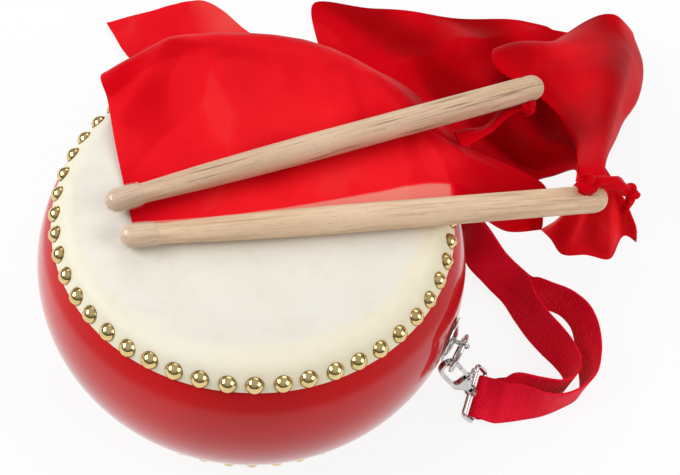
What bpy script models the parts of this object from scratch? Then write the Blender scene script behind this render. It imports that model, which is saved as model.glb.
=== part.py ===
# Hand drum: a lacquered barrel shell with two nailed skin heads, a webbing strap
# on snap hooks, and two wooden sticks with a silk scarf tied to each.
# Metres, +Z up. The origin is the centre of the lower head's resting face.

import bpy
import bmesh
from math import asin, atan, atan2, cos, pi, radians, sin, sqrt
from mathutils import Matrix, Vector

CLEARANCE = 0.0003

# Shell
BELLY_RADIUS = 0.1200
NAIL_SEAT_RADIUS = 0.1036
NAIL_SEAT_HEIGHT = 0.0464
NAIL_SEAT_HALF_ANGLE = radians(3.2)
EDGE_ROUND = 0.0100
RIM_BORE_RADIUS = 0.0860
RIM_BORE_DEPTH = 0.0080
BELLY_WALL = 0.0115
SHOULDER_WALL = 0.0150
SHOULDER_HEIGHT = 0.0260

# Skin heads and their nails
SKIN_THICKNESS = 0.0009
SKIN_BELOW_NAILS = 0.0039
NAIL_COUNT = 50
NAIL_PHASE = radians(178.47)
NAIL_HEAD_RADIUS = 0.0044
NAIL_HEAD_HEIGHT = 0.0032
NAIL_HEAD_SINK = 0.0004
NAIL_SHANK_HALF = 0.0009
NAIL_LENGTH = 0.0100
NAIL_SIDES = 6

# Side hangers: a domed plate, a split pin with an eye, and a ring
HANGER_AZIMUTHS = {"right": radians(-17.0), "left": radians(157.0)}
PLATE_RADIUS = 0.01325
PLATE_FLANGE = 0.0024
PLATE_DOME = 0.0033
PLATE_SHEET = 0.0008
PIN_WIRE_RADIUS = 0.0008
PIN_LEG_SPACING = 0.0011
PIN_EYE_RADIUS = 0.00275
PIN_NECK = 0.0012
PIN_SPREAD = 0.0045
PIN_TAIL = 0.0030
PIN_BEND_CLEAR = 0.0016
RING_RADIUS = 0.0105
RING_WIRE_RADIUS = 0.0013
RING_LEAN = 0.10

# Snap hooks, each with a swivel loop for the webbing
LOOP_WIRE_RADIUS = 0.0014
LOOP_DEPTH = 0.0120
LOOP_BEND = 0.0020
LOOP_SIDE_PLAY = 0.0012
BOSS_RADIUS = 0.0034
BOSS_LENGTH = 0.0024
BOSS_TILT = radians(16.0)
STEM_RADIUS = 0.0014
STEM_HEAD_RADIUS = 0.0026
STEM_HEAD_LENGTH = 0.0011
HOOK_HALF_THICKNESS = 0.0020
HOOK_THROAT = 0.0040
HOOK_BAR = 0.0022
HOOK_THROAT_START = 0.0090
HOOK_THROAT_END = 0.0215
HOOK_LIP = 0.0035
GATE_PIVOT = 0.0065
GATE_HEEL_RADIUS = 0.0016
GATE_HALF_TANG = 0.00085
GATE_HALF_WIDTH = 0.0018
GATE_THICKNESS = 0.0019
GATE_SHOULDER = 0.0011
GATE_BALL_RADIUS = 0.0018
GATE_BALL_HEIGHT = 0.0050
GATE_STUD_RADIUS = 0.0007
GATE_STUD_OFFSET = 0.0018
SPRING_SHEET = 0.0004
SPRING_LENGTH = 0.0042
RIVET_RADIUS = 0.0008
RIVET_HEAD_RADIUS = 0.0014
RIVET_HEAD_LENGTH = 0.0006
RING_IN_HOOK_PLAY = 0.0036

# Webbing strap and its slider
WEBBING_WIDTH = 0.0250
WEBBING_THICKNESS = 0.0013
SLIDER_BAR = 0.0030
SLIDER_SLOT = 0.0065
SLIDER_THICKNESS = 0.0020
SLIDER_SIDE = 0.0030
SLIDER_PLAY = 0.0010
SEWN_TAIL = 0.0180

# Sticks
STICK_LENGTH = 0.2560
STICK_RADIUS = 0.0075
STICK_NECK_RADIUS = 0.0052
STICK_NECK_AT = 0.0205
STICK_TAPER_END = 0.1100
STICK_TIP_RADIUS = 0.0059
STICK_TIP_ROUND = 0.0060
STICK_BUTT_ROUND = 0.0080
STICK_HOLE_RADIUS = 0.0026
STICK_HOLE_FROM_BUTT = 0.0120
CAP_WALL = 0.0006
CAP_LENGTH = 0.0185

# Cloth
CLOTH_THICKNESS = 0.0010
ROPE_IN_HOLE_RADIUS = 0.0021
COIL_ROPE_RADIUS = 0.0024


def clear_scene():
    for item in list(bpy.data.objects):
        bpy.data.objects.remove(item, do_unlink=True)


def material(name, colour, roughness, metallic=0.0):
    made = bpy.data.materials.new(name)
    made.use_nodes = True
    shader = made.node_tree.nodes["Principled BSDF"]
    shader.inputs["Base Color"].default_value = (*colour, 1.0)
    shader.inputs["Roughness"].default_value = roughness
    shader.inputs["Metallic"].default_value = metallic
    return made


def add_object(name, mesh, finish=None, frame=None):
    made = bpy.data.objects.new(name, mesh)
    bpy.context.scene.collection.objects.link(made)
    if finish is not None:
        mesh.materials.append(finish)
    if frame is not None:
        made.matrix_world = frame
    return made


def mesh_from(builder, smooth_angle=radians(35.0)):
    bmesh.ops.remove_doubles(builder, verts=builder.verts, dist=1e-7)
    bmesh.ops.recalc_face_normals(builder, faces=builder.faces)
    mesh = bpy.data.meshes.new("form")
    builder.to_mesh(mesh)
    builder.free()
    mesh.shade_smooth()
    mesh.set_sharp_from_angle(angle=smooth_angle)
    return mesh


def apply_boolean(item, builder, operation, frame=None):
    """Cuts or joins a built form; the form itself stays as a hidden guide."""
    tool = add_object(item.name + "_" + operation.lower(), mesh_from(builder), None, frame)
    tool.hide_render = True
    tool.display_type = "WIRE"
    step = item.modifiers.new(operation.lower(), "BOOLEAN")
    step.operation = operation
    step.solver = "EXACT"
    step.object = tool


def frame_from(origin, x_axis, y_axis, z_axis):
    turn = Matrix((x_axis, y_axis, z_axis)).transposed().to_4x4()
    return Matrix.Translation(origin) @ turn


def revolve(profile, sides, phase=0.0):
    """Closed (r, z) profile turned about Z; points at r = 0 meet on the axis."""
    builder = bmesh.new()
    verts = [builder.verts.new((r * cos(phase), r * sin(phase), z)) for r, z in profile]
    edges = []
    for index, vert in enumerate(verts):
        after = (index + 1) % len(verts)
        if profile[index][0] > 1e-9 or profile[after][0] > 1e-9:
            edges.append(builder.edges.new((vert, verts[after])))
    bmesh.ops.spin(builder, geom=verts + edges, cent=(0, 0, 0), axis=(0, 0, 1),
                   angle=2.0 * pi, steps=sides, use_merge=True)
    bmesh.ops.remove_doubles(builder, verts=builder.verts, dist=1e-7)
    bmesh.ops.dissolve_degenerate(builder, edges=builder.edges, dist=1e-8)
    return builder


def prism(outline, half_thickness):
    """Outline in (x, y), extruded both ways along Z."""
    builder = bmesh.new()
    face = builder.faces.new([builder.verts.new((x, y, -half_thickness)) for x, y in outline])
    grown = bmesh.ops.extrude_face_region(builder, geom=[face])
    lifted = [item for item in grown["geom"] if isinstance(item, bmesh.types.BMVert)]
    bmesh.ops.translate(builder, verts=lifted, vec=(0, 0, 2.0 * half_thickness))
    return builder


def rod(radius, start, end, sides=10):
    """Cylinder between two points, its flats at the given radius."""
    builder = bmesh.new()
    start, end = Vector(start), Vector(end)
    turn = (end - start).to_track_quat("Z", "Y").to_matrix().to_4x4()
    place = Matrix.Translation((start + end) / 2.0) @ turn
    corner = radius / cos(pi / sides)
    bmesh.ops.create_cone(builder, cap_ends=True, segments=sides, radius1=corner,
                          radius2=corner, depth=(end - start).length, matrix=place)
    return builder


def ball(radius, centre, stretch=(1.0, 1.0, 1.0)):
    builder = bmesh.new()
    place = Matrix.Translation(centre) @ Matrix.Diagonal((*stretch, 1.0))
    bmesh.ops.create_uvsphere(builder, u_segments=10, v_segments=6, radius=radius, matrix=place)
    return builder


def arc(centre, radius, start, end, steps):
    points = []
    for index in range(steps + 1):
        angle = start + (end - start) * index / steps
        points.append((centre[0] + radius * cos(angle), centre[1] + radius * sin(angle)))
    return points


def skin_of_rings(rings, closed=False):
    """Joins equal rings of points into one tube, capped unless it is closed."""
    builder = bmesh.new()
    loops = [[builder.verts.new(point) for point in ring] for ring in rings]
    count = len(loops[0])
    for index in range(len(loops) if closed else len(loops) - 1):
        here, there = loops[index], loops[(index + 1) % len(loops)]
        for step in range(count):
            after = (step + 1) % count
            builder.faces.new((here[step], here[after], there[after], there[step]))
    if not closed:
        builder.faces.new(loops[0])
        builder.faces.new(loops[-1])
    return builder


def tangents(points, closed=False):
    count = len(points)
    found = []
    for index in range(count):
        before, after = index - 1, index + 1
        if not closed:
            before, after = max(before, 0), min(after, count - 1)
        ahead = points[after % count] - points[index]
        behind = points[index] - points[before]
        total = Vector((0.0, 0.0, 0.0))
        for step in (ahead, behind):
            if step.length > 1e-9:
                total += step.normalized()
        found.append(total.normalized())
    return found


def rope(points, radii, sides=8, closed=False):
    """Round tube through the points, with its own radius at each of them."""
    points = [Vector(point) for point in points]
    rings = []
    side = None
    for point, radius, tangent in zip(points, radii, tangents(points, closed)):
        if side is None:
            side = tangent.orthogonal()
        side = (side - tangent * side.dot(tangent)).normalized()
        up = tangent.cross(side)
        turns = [2.0 * pi * (step + 0.5) / sides for step in range(sides)]
        rings.append([point + (side * cos(turn) + up * sin(turn)) * radius for turn in turns])
    return skin_of_rings(rings, closed)


def smooth(points, steps):
    """Catmull-Rom curve through points of any number of values."""
    path = []
    last = len(points) - 1
    for index in range(last):
        a, b = points[max(index - 1, 0)], points[index]
        c, d = points[index + 1], points[min(index + 2, last)]
        for step in range(steps):
            t = step / steps
            path.append([blend(*values, t) for values in zip(a, b, c, d)])
    path.append(list(points[last]))
    return path


def blend(a, b, c, d, t):
    return 0.5 * (2.0 * b + (c - a) * t + (2.0 * a - 5.0 * b + 4.0 * c - d) * t * t
                  + (3.0 * b - a - 3.0 * c + d) * t * t * t)


def millimetres(values):
    return Vector(values) * 0.001


def round_drum(values):
    """A point drawn in mm for the usual drum, moved with this one's size.

    Below the head its height is stretched; above it, it keeps its height over the head.
    """
    x, y, z = millimetres(values)
    wide, high = BELLY_RADIUS / DRAWN_BELLY_RADIUS, HEAD_TOP / DRAWN_HEAD_TOP
    over_head = max(z - DRAWN_HEAD_TOP, 0.0)
    return Vector((x * wide, y * wide, (z - over_head) * high + over_head))


clear_scene()

RED_LACQUER = material("red_lacquer", (0.45, 0.004, 0.008), 0.12)
RAWHIDE = material("rawhide", (0.80, 0.78, 0.68), 0.55)
NICKEL = material("nickel_plate", (0.70, 0.69, 0.67), 0.22, 1.0)
BEECH = material("beech", (0.70, 0.48, 0.29), 0.55)
CLEAR_CAP = material("clear_coating", (0.85, 0.82, 0.74), 0.08)
RED_WEBBING = material("red_webbing", (0.62, 0.006, 0.02), 0.75)
RED_SILK = material("red_silk", (0.66, 0.006, 0.012), 0.5)

# Shell profile. The outer side is one arc through the belly and the nail seats.
SEAT_ANGLE = 2.0 * atan((BELLY_RADIUS - NAIL_SEAT_RADIUS) / NAIL_SEAT_HEIGHT)
BELLY_ARC = NAIL_SEAT_HEIGHT / sin(SEAT_ANGLE)
SEAT_LOW = SEAT_ANGLE - NAIL_SEAT_HALF_ANGLE
SEAT_HIGH = SEAT_ANGLE + NAIL_SEAT_HALF_ANGLE
BELLY_STEPS = 3
ROUND_STEPS = 3


def belly_point(angle):
    return (BELLY_RADIUS - BELLY_ARC * (1.0 - cos(angle)), BELLY_ARC * sin(angle))


def edge_points():
    """The rounded bearing edge, from the nail seat to the flat top."""
    r, z = belly_point(SEAT_HIGH)
    centre = (r - EDGE_ROUND * cos(SEAT_HIGH), z - EDGE_ROUND * sin(SEAT_HIGH))
    return arc(centre, EDGE_ROUND, SEAT_HIGH, pi / 2.0, ROUND_STEPS)


WOOD_HALF_HEIGHT = edge_points()[-1][1]
MIDDLE = WOOD_HALF_HEIGHT + CLEARANCE + SKIN_THICKNESS
HEAD_TOP = 2.0 * MIDDLE
DRAWN_BELLY_RADIUS = 0.1200
DRAWN_HEAD_TOP = 0.1081
FACET_PHASE = NAIL_PHASE + pi / NAIL_COUNT


def shell_profile():
    belly = [belly_point(SEAT_LOW * step / BELLY_STEPS) for step in range(BELLY_STEPS + 1)]
    shoulder_angle = asin(SHOULDER_HEIGHT / BELLY_ARC)
    shoulder = (belly_point(shoulder_angle)[0] - SHOULDER_WALL, SHOULDER_HEIGHT)
    rim = (RIM_BORE_RADIUS, WOOD_HALF_HEIGHT)
    bore = (RIM_BORE_RADIUS, WOOD_HALF_HEIGHT - RIM_BORE_DEPTH)
    upper = belly + edge_points() + [rim, bore, shoulder]
    lower = [(r, -z) for r, z in reversed(upper[1:])]
    return upper + [(BELLY_RADIUS - BELLY_WALL, 0.0)] + lower


def offset_line(points, distance):
    """Moves an open (r, z) line to its outer side, mitred at its corners."""
    normals = []
    for (r, z), (next_r, next_z) in zip(points, points[1:]):
        length = sqrt((next_r - r) ** 2 + (next_z - z) ** 2)
        normals.append(((next_z - z) / length, (r - next_r) / length))
    moved = []
    for index, (r, z) in enumerate(points):
        first = normals[max(index - 1, 0)]
        second = normals[min(index, len(normals) - 1)]
        nr, nz = first[0] + second[0], first[1] + second[1]
        size = sqrt(nr * nr + nz * nz)
        reach = distance / ((nr * first[0] + nz * first[1]) / size)
        moved.append((r + nr / size * reach if r > 0.0 else 0.0, z + nz / size * reach))
    return moved


def seat_line():
    """The ends of the nail seat in the profile, and its middle."""
    low, high = belly_point(SEAT_LOW), belly_point(SEAT_HIGH)
    return low, high, ((low[0] + high[0]) / 2.0, (low[1] + high[1]) / 2.0)


def skin_path():
    """The wood surface that the skin lies over, from below the nails to the axis."""
    low, high, middle = seat_line()
    share = SKIN_BELOW_NAILS / sqrt((low[0] - middle[0]) ** 2 + (low[1] - middle[1]) ** 2)
    edge = (middle[0] + (low[0] - middle[0]) * share, middle[1] + (low[1] - middle[1]) * share)
    return [edge] + edge_points() + [(0.0, WOOD_HALF_HEIGHT)]


def nail_frame(index, side):
    """Frame of a nail on the skin: Z out of the wood, X round the drum."""
    azimuth = NAIL_PHASE + 2.0 * pi * index / NAIL_COUNT
    low, high, middle = seat_line()
    inset = cos(pi / NAIL_COUNT)
    tilt = atan2((low[0] - high[0]) * inset, high[1] - low[1])
    radial = Vector((cos(azimuth), sin(azimuth), 0.0))
    up = Vector((0.0, 0.0, float(side)))
    out = radial * cos(tilt) + up * sin(tilt)
    across = Vector((-sin(azimuth), cos(azimuth), 0.0)) * side
    seat = radial * middle[0] * inset + up * middle[1] + Vector((0.0, 0.0, MIDDLE))
    seat += out * (CLEARANCE + SKIN_THICKNESS)
    return frame_from(seat, across, out.cross(across), out)


def nail_domes(side):
    """Low domes side by side round the rim, sunk a little into the skin."""
    builder = bmesh.new()
    turns = [2.0 * pi * (step + 0.5) / NAIL_SIDES for step in range(NAIL_SIDES)]
    for index in range(NAIL_COUNT):
        frame = nail_frame(index, side)
        rings = []
        for r, z in ((NAIL_HEAD_RADIUS, -NAIL_HEAD_SINK),
                     (NAIL_HEAD_RADIUS * 0.77, NAIL_HEAD_HEIGHT * 0.64)):
            rings.append([builder.verts.new(frame @ Vector((r * cos(turn), r * sin(turn), z)))
                          for turn in turns])
        crown = builder.verts.new(frame @ Vector((0.0, 0.0, NAIL_HEAD_HEIGHT)))
        builder.faces.new(rings[0])
        for step in range(NAIL_SIDES):
            after = (step + 1) % NAIL_SIDES
            builder.faces.new((rings[0][step], rings[0][after], rings[1][after], rings[1][step]))
            builder.faces.new((rings[1][step], rings[1][after], crown))
    return builder


def spikes(side, base, spare):
    """Tapered square points from a base level above the skin into the wood."""
    builder = bmesh.new()
    half = NAIL_SHANK_HALF + spare
    deep = NAIL_LENGTH * half / NAIL_SHANK_HALF
    for index in range(NAIL_COUNT):
        frame = nail_frame(index, side)
        corners = ((half, half), (-half, half), (-half, -half), (half, -half))
        square = [builder.verts.new(frame @ Vector((x, y, base))) for x, y in corners]
        tip = builder.verts.new(frame @ Vector((0.0, 0.0, -deep)))
        builder.faces.new(square)
        for step in range(4):
            builder.faces.new((square[(step + 1) % 4], square[step], tip))
    return builder


def pin_bore_radius():
    return PIN_LEG_SPACING + PIN_WIRE_RADIUS + CLEARANCE


def make_shell():
    profile = [(r, z + MIDDLE) for r, z in shell_profile()]
    shell = add_object("shell", mesh_from(revolve(profile, NAIL_COUNT, FACET_PHASE)), RED_LACQUER)
    for side in (1, -1):
        pockets = spikes(side, -CLEARANCE, CLEARANCE)
        apply_boolean(shell, pockets, "DIFFERENCE")
    for azimuth in HANGER_AZIMUTHS.values():
        radial = Vector((cos(azimuth), sin(azimuth), 0.0))
        centre = Vector((0.0, 0.0, MIDDLE))
        inner = centre + radial * (BELLY_RADIUS - 2.0 * BELLY_WALL)
        outer = centre + radial * (BELLY_RADIUS + BELLY_WALL)
        apply_boolean(shell, rod(pin_bore_radius(), inner, outer), "DIFFERENCE")


def make_head(label, side):
    """The skin, with the nails that clamp it; the shanks pass into the shell."""
    inner = offset_line(skin_path(), CLEARANCE)
    outer = offset_line(skin_path(), CLEARANCE + SKIN_THICKNESS)
    profile = [(r, MIDDLE + side * z) for r, z in outer + list(reversed(inner))]
    mesh = mesh_from(revolve(profile, NAIL_COUNT, FACET_PHASE))
    head = add_object("nailed_head_" + label, mesh, RAWHIDE)
    apply_boolean(head, spikes(side, NAIL_HEAD_HEIGHT * 0.2, 0.0), "UNION")
    apply_boolean(head, nail_domes(side), "UNION")


make_shell()
make_head("top", 1)
make_head("bottom", -1)

# Side hangers. In a hanger's frame X is out of the shell, Y along it, Z up.
PLATE_EDGE = PLATE_RADIUS - PLATE_FLANGE
PLATE_SEAT = sqrt(BELLY_RADIUS ** 2 - PLATE_EDGE ** 2) - BELLY_RADIUS + CLEARANCE
EYE_OUT = PLATE_SEAT + PLATE_DOME + PIN_NECK + PIN_EYE_RADIUS + PIN_WIRE_RADIUS


def hanger_frame(azimuth):
    radial = Vector((cos(azimuth), sin(azimuth), 0.0))
    along = Vector((-sin(azimuth), cos(azimuth), 0.0))
    origin = radial * BELLY_RADIUS + Vector((0.0, 0.0, MIDDLE))
    return frame_from(origin, radial, along, Vector((0.0, 0.0, 1.0)))


def plate_profile():
    """Flange, dome and centre hole of the pressed plate, as (r, height)."""
    hole = pin_bore_radius()
    rise = PLATE_DOME - PLATE_SHEET
    span = PLATE_EDGE - hole
    shape = [(PLATE_RADIUS, 0.0), (PLATE_EDGE, 0.0), (hole + span * 0.67, rise * 0.62),
             (hole + span * 0.33, rise * 0.92), (hole, rise)]
    under = [(r, PLATE_SEAT + lift) for r, lift in shape]
    over = [(r, z + PLATE_SHEET) for r, z in under]
    return over + list(reversed(under))


def split_pin_path():
    """Leg tail, leg, eye, leg and leg tail, in the hanger's X and Z."""
    neck = asin(PIN_LEG_SPACING / PIN_EYE_RADIUS)
    inside = -BELLY_WALL - PIN_BEND_CLEAR
    bend = inside - 2.0 * PIN_WIRE_RADIUS
    leg = [(bend - PIN_TAIL, PIN_SPREAD), (bend, PIN_LEG_SPACING * 1.6), (inside, PIN_LEG_SPACING)]
    eye = arc((EYE_OUT, 0.0), PIN_EYE_RADIUS, pi - neck, neck - pi, 10)
    other = [(x, -z) for x, z in reversed(leg)]
    return [Vector((x, 0.0, z)) for x, z in leg + eye + other]


def ring_frame(azimuth):
    """Origin in the eye, where the ring swings about Y. X is down, leaning inwards."""
    down = Vector((-RING_LEAN, 0.0, -1.0)).normalized()
    along = Vector((0.0, 1.0, 0.0))
    eye = Vector((EYE_OUT, 0.0, 0.0))
    return hanger_frame(azimuth) @ frame_from(eye, down, along, down.cross(along))


def ring_point(turn):
    """A point on the ring's centreline, by its angle from the lowest point."""
    return Vector((RING_RADIUS * (1.0 + cos(turn)), RING_RADIUS * sin(turn), 0.0))


for label, azimuth in HANGER_AZIMUTHS.items():
    hanger = hanger_frame(azimuth)
    outwards = Matrix.Rotation(pi / 2.0, 4, "Y")
    plate = mesh_from(revolve(plate_profile(), 14))
    add_object("hanger_plate_" + label, plate, NICKEL, hanger @ outwards)
    path = split_pin_path()
    pin = mesh_from(rope(path, [PIN_WIRE_RADIUS] * len(path), 6))
    add_object("hanger_eye_" + label, pin, NICKEL, hanger)
    circle = [ring_point(2.0 * pi * step / 20) for step in range(20)]
    ring = mesh_from(rope(circle, [RING_WIRE_RADIUS] * 20, 6, closed=True), pi / 3.0)
    add_object("hanger_ring_" + label, ring, NICKEL, ring_frame(azimuth))

# Snap hooks. In a hook's frame X runs to the nose, Y is across the throat towards
# the gate, and Z is the gate's pivot axis. X = 0 is the hook's lower face.
HOOK_OUTER = HOOK_THROAT + HOOK_BAR
RING_IN_HOOK = HOOK_THROAT_END + HOOK_THROAT - RING_WIRE_RADIUS - RING_IN_HOOK_PLAY
SWIVEL_GAP = CLEARANCE + BOSS_RADIUS * sin(BOSS_TILT)
BOSS_CENTRE = -SWIVEL_GAP - BOSS_LENGTH / 2.0
BOSS_BORE = STEM_RADIUS + CLEARANCE + BOSS_LENGTH / 2.0 * sin(BOSS_TILT)
PIVOT_Y = HOOK_THROAT + CLEARANCE
CHEEK_TOP = PIVOT_Y + GATE_HEEL_RADIUS + CLEARANCE
SPRING_TOP = PIVOT_Y - GATE_HEEL_RADIUS - CLEARANCE
SLOT_FLOOR = SPRING_TOP - SPRING_SHEET - CLEARANCE
SLOT_START = GATE_PIVOT - GATE_HEEL_RADIUS - CLEARANCE
NOSE_TIP = HOOK_THROAT_END - HOOK_LIP

# How each hook hangs: where it takes its ring, as an angle round the ring from its
# lowest point; the way its stem points; and how the loop and webbing bar lie.
HOOK_HANGS = {
    "right": {"ring_angle": radians(-50.0), "stem": (-0.651, 0.078, 0.757),
              "loop_axis": (-0.544, -0.126, 0.830), "bar": (0.03, 0.88, 0.477)},
    "left": {"ring_angle": radians(-50.0), "stem": (0.048, -0.813, 0.578),
             "loop_axis": (0.048, -0.813, 0.578), "bar": (0.05, 0.10, 1.0)},
}


def hook_frame(label):
    hang = HOOK_HANGS[label]
    ring = ring_frame(HANGER_AZIMUTHS[label])
    angle = hang["ring_angle"]
    held = ring @ ring_point(angle)
    wire = ring.to_3x3() @ Vector((-sin(angle), cos(angle), 0.0))
    nose = Vector(hang["stem"]).normalized()
    pivot = (wire - nose * wire.dot(nose)).normalized()
    if pivot.cross(nose).dot(held) < 0.0:
        pivot = -pivot
    return frame_from(held - nose * RING_IN_HOOK, nose, pivot.cross(nose), pivot)


def loop_frame(label):
    """Origin in the boss, X along the loop to the hook, Z along the webbing bar."""
    hang = HOOK_HANGS[label]
    centre = hook_frame(label) @ Vector((BOSS_CENTRE, 0.0, 0.0))
    axis = Vector(hang["loop_axis"]).normalized()
    bar = Vector(hang["bar"])
    bar = (bar - axis * bar.dot(axis)).normalized()
    return frame_from(centre, axis, bar.cross(axis), bar)


def hook_outline():
    outer, throat = HOOK_OUTER, HOOK_THROAT
    end = (HOOK_THROAT_END, 0.0)
    foot = STEM_RADIUS + 0.001
    points = [(0.0, -foot), (HOOK_THROAT_START * 0.33, -foot - 0.0006),
              (HOOK_THROAT_START * 0.87, -outer)]
    points += arc(end, outer, -pi / 2.0, pi / 2.0, 10)
    points += [(NOSE_TIP, outer), (NOSE_TIP, throat)]
    points += arc(end, throat, pi / 2.0, -pi / 2.0, 8)
    points += [(HOOK_THROAT_START + HOOK_BAR, -throat), (HOOK_THROAT_START, -throat + HOOK_BAR)]
    points += [(HOOK_THROAT_START, CHEEK_TOP), (SLOT_START, CHEEK_TOP)]
    points += [(SLOT_START * 0.5, foot), (0.0, foot)]
    return points


def make_hook(label, frame):
    mesh = mesh_from(prism(hook_outline(), HOOK_HALF_THICKNESS))
    hook = add_object("snap_hook_" + label, mesh, NICKEL, frame)
    past = HOOK_THROAT_START + HOOK_BAR
    over = CHEEK_TOP + HOOK_BAR
    slot = [(SLOT_START, SLOT_FLOOR), (past, SLOT_FLOOR), (past, over), (SLOT_START, over)]
    apply_boolean(hook, prism(slot, GATE_HALF_TANG + CLEARANCE), "DIFFERENCE", frame)
    reach = 2.0 * HOOK_HALF_THICKNESS
    bore = rod(RIVET_RADIUS + CLEARANCE, (GATE_PIVOT, PIVOT_Y, -reach), (GATE_PIVOT, PIVOT_Y, reach))
    apply_boolean(hook, bore, "DIFFERENCE", frame)
    neck = BOSS_CENTRE - BOSS_LENGTH / 2.0 - SWIVEL_GAP
    stem = rod(STEM_RADIUS, (neck - STEM_HEAD_LENGTH / 2.0, 0, 0), (STEM_RADIUS, 0, 0))
    apply_boolean(hook, stem, "UNION", frame)
    head = rod(STEM_HEAD_RADIUS, (neck - STEM_HEAD_LENGTH, 0, 0), (neck, 0, 0))
    apply_boolean(hook, head, "UNION", frame)


def make_gate(label, frame):
    """A closing bar on a tang, with a thumb ball. Its origin is on the pivot."""
    place = frame @ Matrix.Translation((GATE_PIVOT, PIVOT_Y, 0.0))
    inner, outer = -CLEARANCE, GATE_THICKNESS - CLEARANCE
    start = GATE_HEEL_RADIUS + GATE_SHOULDER + CLEARANCE * 3.0
    end = NOSE_TIP - CLEARANCE - GATE_PIVOT
    tang = arc((0.0, 0.0), GATE_HEEL_RADIUS, radians(75.0), radians(345.0), 8)
    tang += [(start + CLEARANCE, inner), (start + CLEARANCE, outer)]
    gate = add_object("gate_" + label, mesh_from(prism(tang, GATE_HALF_TANG)), NICKEL, place)
    bar = [(start, inner), (end, inner), (end, outer), (start, outer)]
    apply_boolean(gate, prism(bar, GATE_HALF_WIDTH), "UNION", place)
    x = GATE_STUD_OFFSET
    stud = rod(GATE_STUD_RADIUS, (x, outer / 2.0, 0), (x, GATE_BALL_HEIGHT, 0), 8)
    apply_boolean(gate, stud, "UNION", place)
    apply_boolean(gate, ball(GATE_BALL_RADIUS, (x, GATE_BALL_HEIGHT, 0)), "UNION", place)
    reach = 2.0 * GATE_HALF_TANG
    apply_boolean(gate, rod(RIVET_RADIUS + CLEARANCE, (0, 0, -reach), (0, 0, reach)), "DIFFERENCE", place)


def make_rivet(label, frame):
    """A pin with a flat head at each end, over the hook's cheeks."""
    near = HOOK_HALF_THICKNESS + CLEARANCE
    far = near + RIVET_HEAD_LENGTH
    half = [(RIVET_RADIUS, near), (RIVET_HEAD_RADIUS, near), (RIVET_HEAD_RADIUS, far), (0.0, far)]
    profile = [(r, -z) for r, z in reversed(half)] + half
    place = frame @ Matrix.Translation((GATE_PIVOT, PIVOT_Y, 0.0))
    add_object("gate_rivet_" + label, mesh_from(revolve(profile, 8)), NICKEL, place)


def make_gate_spring(label, frame):
    """A leaf of spring steel between the slot's floor and the gate's heel."""
    low = SPRING_TOP - SPRING_SHEET
    start = SLOT_START + CLEARANCE
    end = start + SPRING_LENGTH
    leaf = [(start, low), (end, low), (end, SPRING_TOP - SPRING_SHEET / 2.0),
            (GATE_PIVOT, SPRING_TOP), (start, SPRING_TOP - SPRING_SHEET / 4.0)]
    add_object("gate_spring_" + label, mesh_from(prism(leaf, GATE_HALF_TANG)), NICKEL, frame)


def make_swivel_loop(label, frame):
    """A rectangular wire loop with a boss that the hook's stem turns in."""
    half = WEBBING_WIDTH / 2.0 + LOOP_SIDE_PLAY + LOOP_WIRE_RADIUS - LOOP_BEND
    near, far = -LOOP_BEND, LOOP_BEND - LOOP_DEPTH
    corners = (((near, half), pi / 2.0), ((near, -half), 0.0),
               ((far, -half), -pi / 2.0), ((far, half), -pi))
    points = []
    for centre, start in corners:
        points += [Vector((x, 0.0, z)) for x, z in arc(centre, LOOP_BEND, start, start - pi / 2.0, 2)]
    mesh = mesh_from(rope(points, [LOOP_WIRE_RADIUS] * len(points), 8, closed=True), pi / 3.0)
    loop = add_object("swivel_loop_" + label, mesh, NICKEL, frame)
    end = BOSS_LENGTH / 2.0
    apply_boolean(loop, rod(BOSS_RADIUS, (-end, 0, 0), (end, 0, 0), 12), "UNION", frame)
    apply_boolean(loop, rod(BOSS_BORE, (-3 * end, 0, 0), (3 * end, 0, 0)), "DIFFERENCE", frame)


for label in HANGER_AZIMUTHS:
    place = hook_frame(label)
    make_hook(label, place)
    make_gate(label, place)
    make_rivet(label, place)
    make_gate_spring(label, place)
    make_swivel_loop(label, loop_frame(label))

# Webbing strap. It is sewn round the slider's middle bar, runs to the right loop and
# back through the slider, lies in folds behind the drum and ends on the left loop.
# Each free stretch lists the band's middle and the direction of its width, in mm.
INNER_RUN = (
    ((130.5, 65.0, 15.0), (0.28, 0.19, 0.94)),
    ((139.0, 52.5, 11.5), (0.74, 0.33, 0.59)),
    ((150.5, 41.0, 11.0), (0.80, 0.36, 0.50)),
    ((159.0, 30.5, 13.0), (0.50, 0.35, 0.80)),
    ((165.5, 18.0, 13.2), (0.31, 0.32, 0.90)),
    ((173.5, 7.0, 13.0), (0.31, 0.32, 0.90)),
    ((182.0, -2.0, 13.0), (0.31, 0.30, 0.90)),
    ((189.0, -10.0, 13.2), (0.24, 0.20, 0.95)),
    ((194.0, -19.0, 13.3), (0.16, 0.05, 0.98)),
    ((193.0, -28.0, 13.3), (0.05, -0.03, 0.99)),
    ((186.0, -33.5, 13.3), (0.0, -0.05, 0.99)),
    ((174.0, -35.5, 13.2), (-0.05, 0.08, 0.99)),
    ((161.0, -37.5, 12.9), (-0.05, 0.35, 0.93)),
    ((152.0, -43.6, 10.6), (0.16, 0.75, 0.64)),
)
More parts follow.
